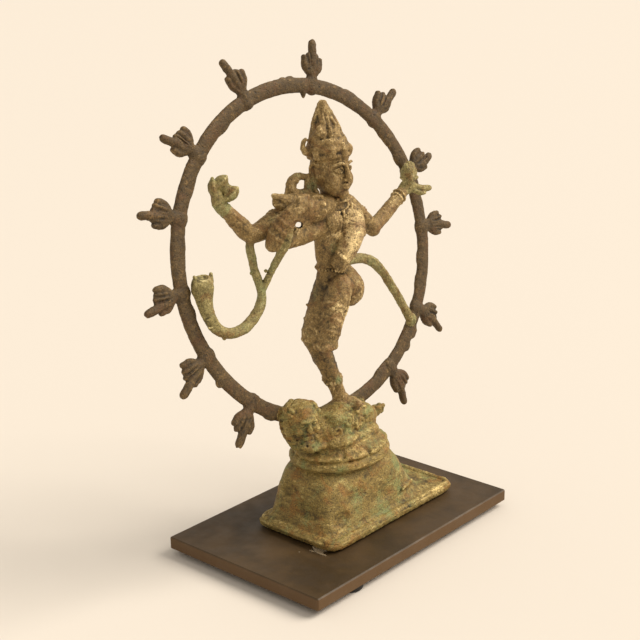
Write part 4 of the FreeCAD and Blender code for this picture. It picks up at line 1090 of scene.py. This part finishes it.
def patina(name, dark, middle, light, ochre, green, green_share, shine=0.22, streak=1):
    """Old bronze: dark in the hollows, rubbed warm on the heights, green and ochre crusts, painted
    light and shade.

    streak over 1 draws the fine marks out sideways, as on a surface that was brushed round.
    """
    n = Nodes(name)
    brushed = (1 / streak, 1 / streak, streak ** 0.5)
    relief, stain, worn = n.attribute("relief"), n.attribute("stain"), n.attribute("worn")
    broad, patch = n.noise(11, 2, 0.5, 0.4), n.noise(3.6, 4, 0.6, 0.6, brushed)
    fine, speck = n.noise(1.2, 3, 0.65, 0.3, brushed), n.noise(0.5, 2, 0.6)
    # Spots under 0 darken the surface: painted shade where the figure lies in shadow.
    height = n.total(relief, n.math("MINIMUM", worn, 0), n.centred(patch, 3))
    colour = n.mix(n.ramp(height, -1.1, 0.35), dark, middle)
    # Spots over 0 lighten the heights: rubbed metal, partly painted highlight on the lit parts.
    high = n.total(height, n.math("MULTIPLY", worn, 1.4), n.centred(fine, 3))
    colour = n.mix(n.ramp(high, 0.2, 1.7, 0, 0.95), colour, light)
    rust = n.total(n.noise(8.5, 3, 0.6, 0.8), n.math("MULTIPLY", fine, 0.35))
    colour = n.mix(n.ramp(rust, 0.66, 0.86, 0, 0.7), colour, ochre)
    crust = n.total(n.math("MULTIPLY", stain, 0.42), green_share,
        n.total(n.centred(broad, 1.3), n.centred(fine, 0.9)))
    colour = n.mix(n.ramp(crust, 0.05, 0.5, 0, 0.8), colour, green)
    bright = n.ramp(n.total(stain, n.centred(patch, 1)), 0.9, 1.5, 0, 0.55)
    colour = n.mix(bright, colour, FRESH_VERDIGRIS)
    colour = n.mix(0.85, colour, n.mix(n.ramp(speck, 0.3, 0.7), SPECK_DARK, SPECK_LIGHT),
        "MULTIPLY")
    pit = n.ramp(n.cells(1.7), 0, 0.32, 0, 1)
    colour = n.mix(n.math("MULTIPLY", n.math("SUBTRACT", 1, pit), 0.6), colour, dark)
    normal = n.bump(fine, 0.34)
    normal = n.bump(speck, 0.16, under=normal)
    normal = n.bump(pit, 0.22, under=normal)
    rough = n.math("SUBTRACT", n.ramp(speck, 0.2, 0.8, 0.6, 0.8),
        n.math("MULTIPLY", n.ramp(high, 0.2, 1.6), 0.12))
    return n.finish(Base_Color=colour, Roughness=rough, Normal=normal,
                    Metallic=n.ramp(high, 0.2, 1.8, 0.05, shine))


# name: screen colours of the hollows, the surface, the heights, the rust and the verdigris, then
# the share of verdigris, how metallic the heights are, and the streak.
METALS = {name: patina(name, *(linear(*colour) for colour in colours), *rest)
    for name, colours, *rest in [("figure_brass", ((42, 34, 16), (146, 120, 72), (238, 212, 154),
    (124, 88, 46), (130, 134, 88)), -0.12), ("ring_brass",
    ((42, 33, 18), (88, 70, 40), (146, 118, 74), (96, 68, 38), (100, 94, 58)), -0.26, 0.25),
    ("pedestal_brass", ((60, 47, 18), (142, 121, 63), (226, 202, 134), (140, 97, 38),
    (130, 142, 88)), 0.04, 0.35, 1.8), ("verdigris_brass",
    ((64, 54, 28), (148, 135, 84), (220, 206, 152), (128, 92, 48), (152, 158, 106)), 0.04)]}


# ---- the board, its feet and the glue
WORN_EDGE, SIDE_LIGHT_RIM = 0.0007, 0.0006    # metres from the board's edges and its top face


def lacquer():
    """Dark lacquer, rubbed through along its edges, with painted warm bounce light on its sides."""
    n = Nodes("board_lacquer")
    low, high = BOARD_LOW * MM, BOARD_HIGH * MM
    spread = n.new("ShaderNodeSeparateXYZ")
    n.feed(spread.inputs[0], n.place)
    edge = None
    for k in range(3):
        middle, half = (low[k] + high[k]) / 2, (high[k] - low[k]) / 2
        gap = n.math("SUBTRACT", half, n.math("ABSOLUTE",
            n.math("SUBTRACT", spread.outputs[k], middle)))
        near = n.ramp(gap, 0, WORN_EDGE, 1, 0)
        edge = near if edge is None else n.math("ADD", edge, near)
    wear = n.total(n.ramp(edge, 0.9, 1.9, 0, 0.7),
        n.math("MULTIPLY_ADD", n.noise(3, 4, 0.65), 1.4, -0.8))
    # The sides, below a thin rim under the top face, get a lighter warm brown: painted bounce
    # light.
    side = n.ramp(n.math("SUBTRACT", high[2] - 0.0002, spread.outputs[2]), 0, SIDE_LIGHT_RIM)
    colour = n.mix(n.ramp(n.noise(20, 3), 0.3, 0.7), linear(54, 41, 21), linear(74, 56, 30))
    colour = n.mix(n.math("MULTIPLY", side, 0.8), colour, linear(96, 69, 35))
    colour = n.mix(n.ramp(wear, 0.1, 0.9, 0, 0.85), colour, linear(176, 124, 66))
    dust = n.ramp(n.noise(0.7, 2, 0.7), 0.66, 0.8, 0, 0.25)
    colour = n.mix(dust, colour, linear(150, 138, 118))
    return n.finish(Base_Color=colour, Roughness=n.ramp(n.noise(9, 3), 0.3, 0.7, 0.46, 0.6),
                    Normal=n.bump(n.noise(0.5, 3, 0.7), 0.05), Specular_IOR_Level=0.4)


def rubber(colour, roughness):
    n = Nodes("foot_rubber")
    tint = n.mix(n.ramp(n.noise(2, 3, 0.6), 0.3, 0.7), colour, (*(0.82 * v for v in colour[:3]), 1))
    return n.finish(Base_Color=tint, Roughness=roughness, Normal=n.bump(n.noise(0.8), 0.06))


def solid_object(name, shapes, voxel):
    """A clean (unweathered) piece from shapes."""
    low = np.min([low for _, low, _ in shapes], axis=0)
    high = np.max([high for _, _, high in shapes], axis=0)
    grid = Grid(low, high, voxel)
    points, quads = surface(pressed([("add", shape, 0) for shape in shapes], grid), grid)
    return mesh_object(name, Relaxer(quads, len(points))(points, times=2), quads)


def beveled_box(name, low, high, bevel):
    """A box with its edges cut off at 45 degrees, in mm from the frame's own origin."""
    shell = bmesh.new()
    for corner in itertools.product((0, 1), repeat=3):
        ends = [(low, high)[end][k] for k, end in enumerate(corner)]
        inward = [-bevel if end else bevel for end in corner]
        for free in range(3):
            shell.verts.new([(ends[k] + (0 if k == free else inward[k])) * MM for k in range(3)])
    bmesh.ops.convex_hull(shell, input=shell.verts)
    bmesh.ops.dissolve_limit(shell, angle_limit=0.02, verts=shell.verts, edges=shell.edges)
    mesh = bpy.data.meshes.new(name)
    shell.to_mesh(mesh)
    shell.free()
    return placed(name, mesh)


def hand_over(item, slot, node):
    """Put a finished piece in the frame in place of its CAD node."""
    item.data.materials.append(FINISHES[slot])
    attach(item, "root")
    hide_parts(node)


GLUE = Nodes("clear_glue").finish(Base_Color=linear(168, 150, 122), Roughness=0.2, Alpha=0.55)
FINISHES = dict(METALS, board_lacquer=lacquer(), foot_rubber=rubber(linear(30, 28, 26), 0.75),
    clear_glue=GLUE)

board = beveled_box("display_board_looks", BOARD_LOW, BOARD_HIGH, 0.6)
hand_over(board, "board_lacquer", "display_board")

bottom, top = (corner.z / MM - BOARD_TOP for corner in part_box("rubber_feet"))
feet = [stack([(*middle, z, radius, radius) for z, radius in ((bottom, 5.3), (bottom + 0.4, 5.9),
    (top - 0.4, 6), (top, 5.8))], 3) for middle in ((-44, -41), (45, -35), (-44, 37), (45, 37))]
hand_over(solid_object("rubber_feet_looks", feet, 0.5), "foot_rubber", "rubber_feet")

dabs = [stack([(*middle, 0, 5.2, 5), (*middle, 0.5, 4.8, 4.6), (*middle, 1, 4.4, 4.4)], 3)
    for middle in ((-36, -17), (48, -20), (-32, 17), (48, 16))]
# The glue has squeezed out in a thin streak along the left end.
dabs += [egg((-41.4, -20.2, 0.1), (0.9, 4.2, 0.45)), egg((-42, -15.4, 0.1), (0.7, 1.6, 0.35)),
    egg((-39.8, -18, 0.2), (1.6, 3, 0.6)), egg((-46.4, -11.4, 0.05), (0.5, 0.6, 0.3))]
hand_over(solid_object("adhesive_dabs_looks", dabs, 0.28), "clear_glue", "adhesive_dabs")

# ---- sculpt every piece
def finished(name, metal, points, quads, relief):
    item = mesh_object(name + "_looks", points, quads, relief=relief,
        stain=spots(points, VERDIGRIS), worn=spots(points, WEAR_AND_PAINTED_LIGHT))
    hand_over(item, metal, name)


with ThreadPoolExecutor(4) as pool:
    for piece, made in zip(PIECES.values(), list(pool.map(sculpt, PIECES.values()))):
        finished(piece.name, piece.metal, *made)
finished("aureole_ring", "ring_brass", *ring_mesh())


# ---- floor, light and camera
FLOOR_HALF = 60         # metres
floor_mesh = bpy.data.meshes.new("floor")
floor_mesh.from_pydata([(x * FLOOR_HALF, y * FLOOR_HALF, 0)
    for x, y in ((-1, -1), (1, -1), (1, 1), (-1, 1))], [], [(0, 1, 2, 3)])
floor = placed("floor", floor_mesh)
floor_mesh.materials.append(Nodes("floor").finish(Base_Color=linear(219, 214, 206), Roughness=0.85))

# One very broad lamp to the camera's right casts the soft shadow.
KEY_FROM = Vector((0.72, -0.62, 1.0))
sun = bpy.data.lights.new("key_sun", "SUN")
sun.energy = 3.3
sun.angle = math.radians(38)
sun.color = (1.0, 0.9, 0.78)
key = placed("key_sun", sun)
key.rotation_euler = KEY_FROM.to_track_quat("Z", "Y").to_euler()

# A warm sky lights the scene; looked at directly, it has the floor's own tone.
SKY_COLOUR, SKY_STRENGTH, BACKDROP_COLOUR = (1.0, 0.91, 0.8, 1), 0.64, (0.99, 0.855, 0.69, 1)
world = bpy.data.worlds.new("studio")
world.use_nodes = True
tree = world.node_tree
sky = tree.nodes["Background"]
sky.inputs["Color"].default_value = SKY_COLOUR
sky.inputs["Strength"].default_value = SKY_STRENGTH
backdrop = tree.nodes.new("ShaderNodeBackground")
backdrop.inputs["Color"].default_value = BACKDROP_COLOUR
chosen = tree.nodes.new("ShaderNodeMixShader")
camera_ray = tree.nodes.new("ShaderNodeLightPath").outputs["Is Camera Ray"]
for source, socket in ((camera_ray, chosen.inputs["Fac"]), (sky.outputs[0], chosen.inputs[1]),
                       (backdrop.outputs[0], chosen.inputs[2]),
                       (chosen.outputs[0], tree.nodes["World Output"].inputs["Surface"])):
    tree.links.new(source, socket)
bpy.context.scene.world = world
bpy.context.scene.view_settings.view_transform = "Standard"

# The camera stands to the figure's right front and looks down on it a little.
YAW, PITCH, ROLL = -0.85391, 0.30933, -0.01159     # radians
CAMERA_PLACE = Vector((-472.5, -397.6, 308.95))
back = Vector((math.sin(YAW) * math.cos(PITCH), -math.cos(YAW) * math.cos(PITCH), math.sin(PITCH)))
level = Vector((math.cos(YAW), math.sin(YAW), 0))
lift = back.cross(level)
right = math.cos(ROLL) * level + math.sin(ROLL) * lift
over = -math.sin(ROLL) * level + math.cos(ROLL) * lift
lens = bpy.data.cameras.new("camera")
lens.lens = 75.45
lens.sensor_width = 36
lens.clip_start = 0.01
camera = placed("camera", lens)
camera.matrix_world = (Matrix.Translation(CAMERA_PLACE * MM)
                       @ Matrix((right, over, back)).transposed().to_4x4())
bpy.context.scene.camera = camera
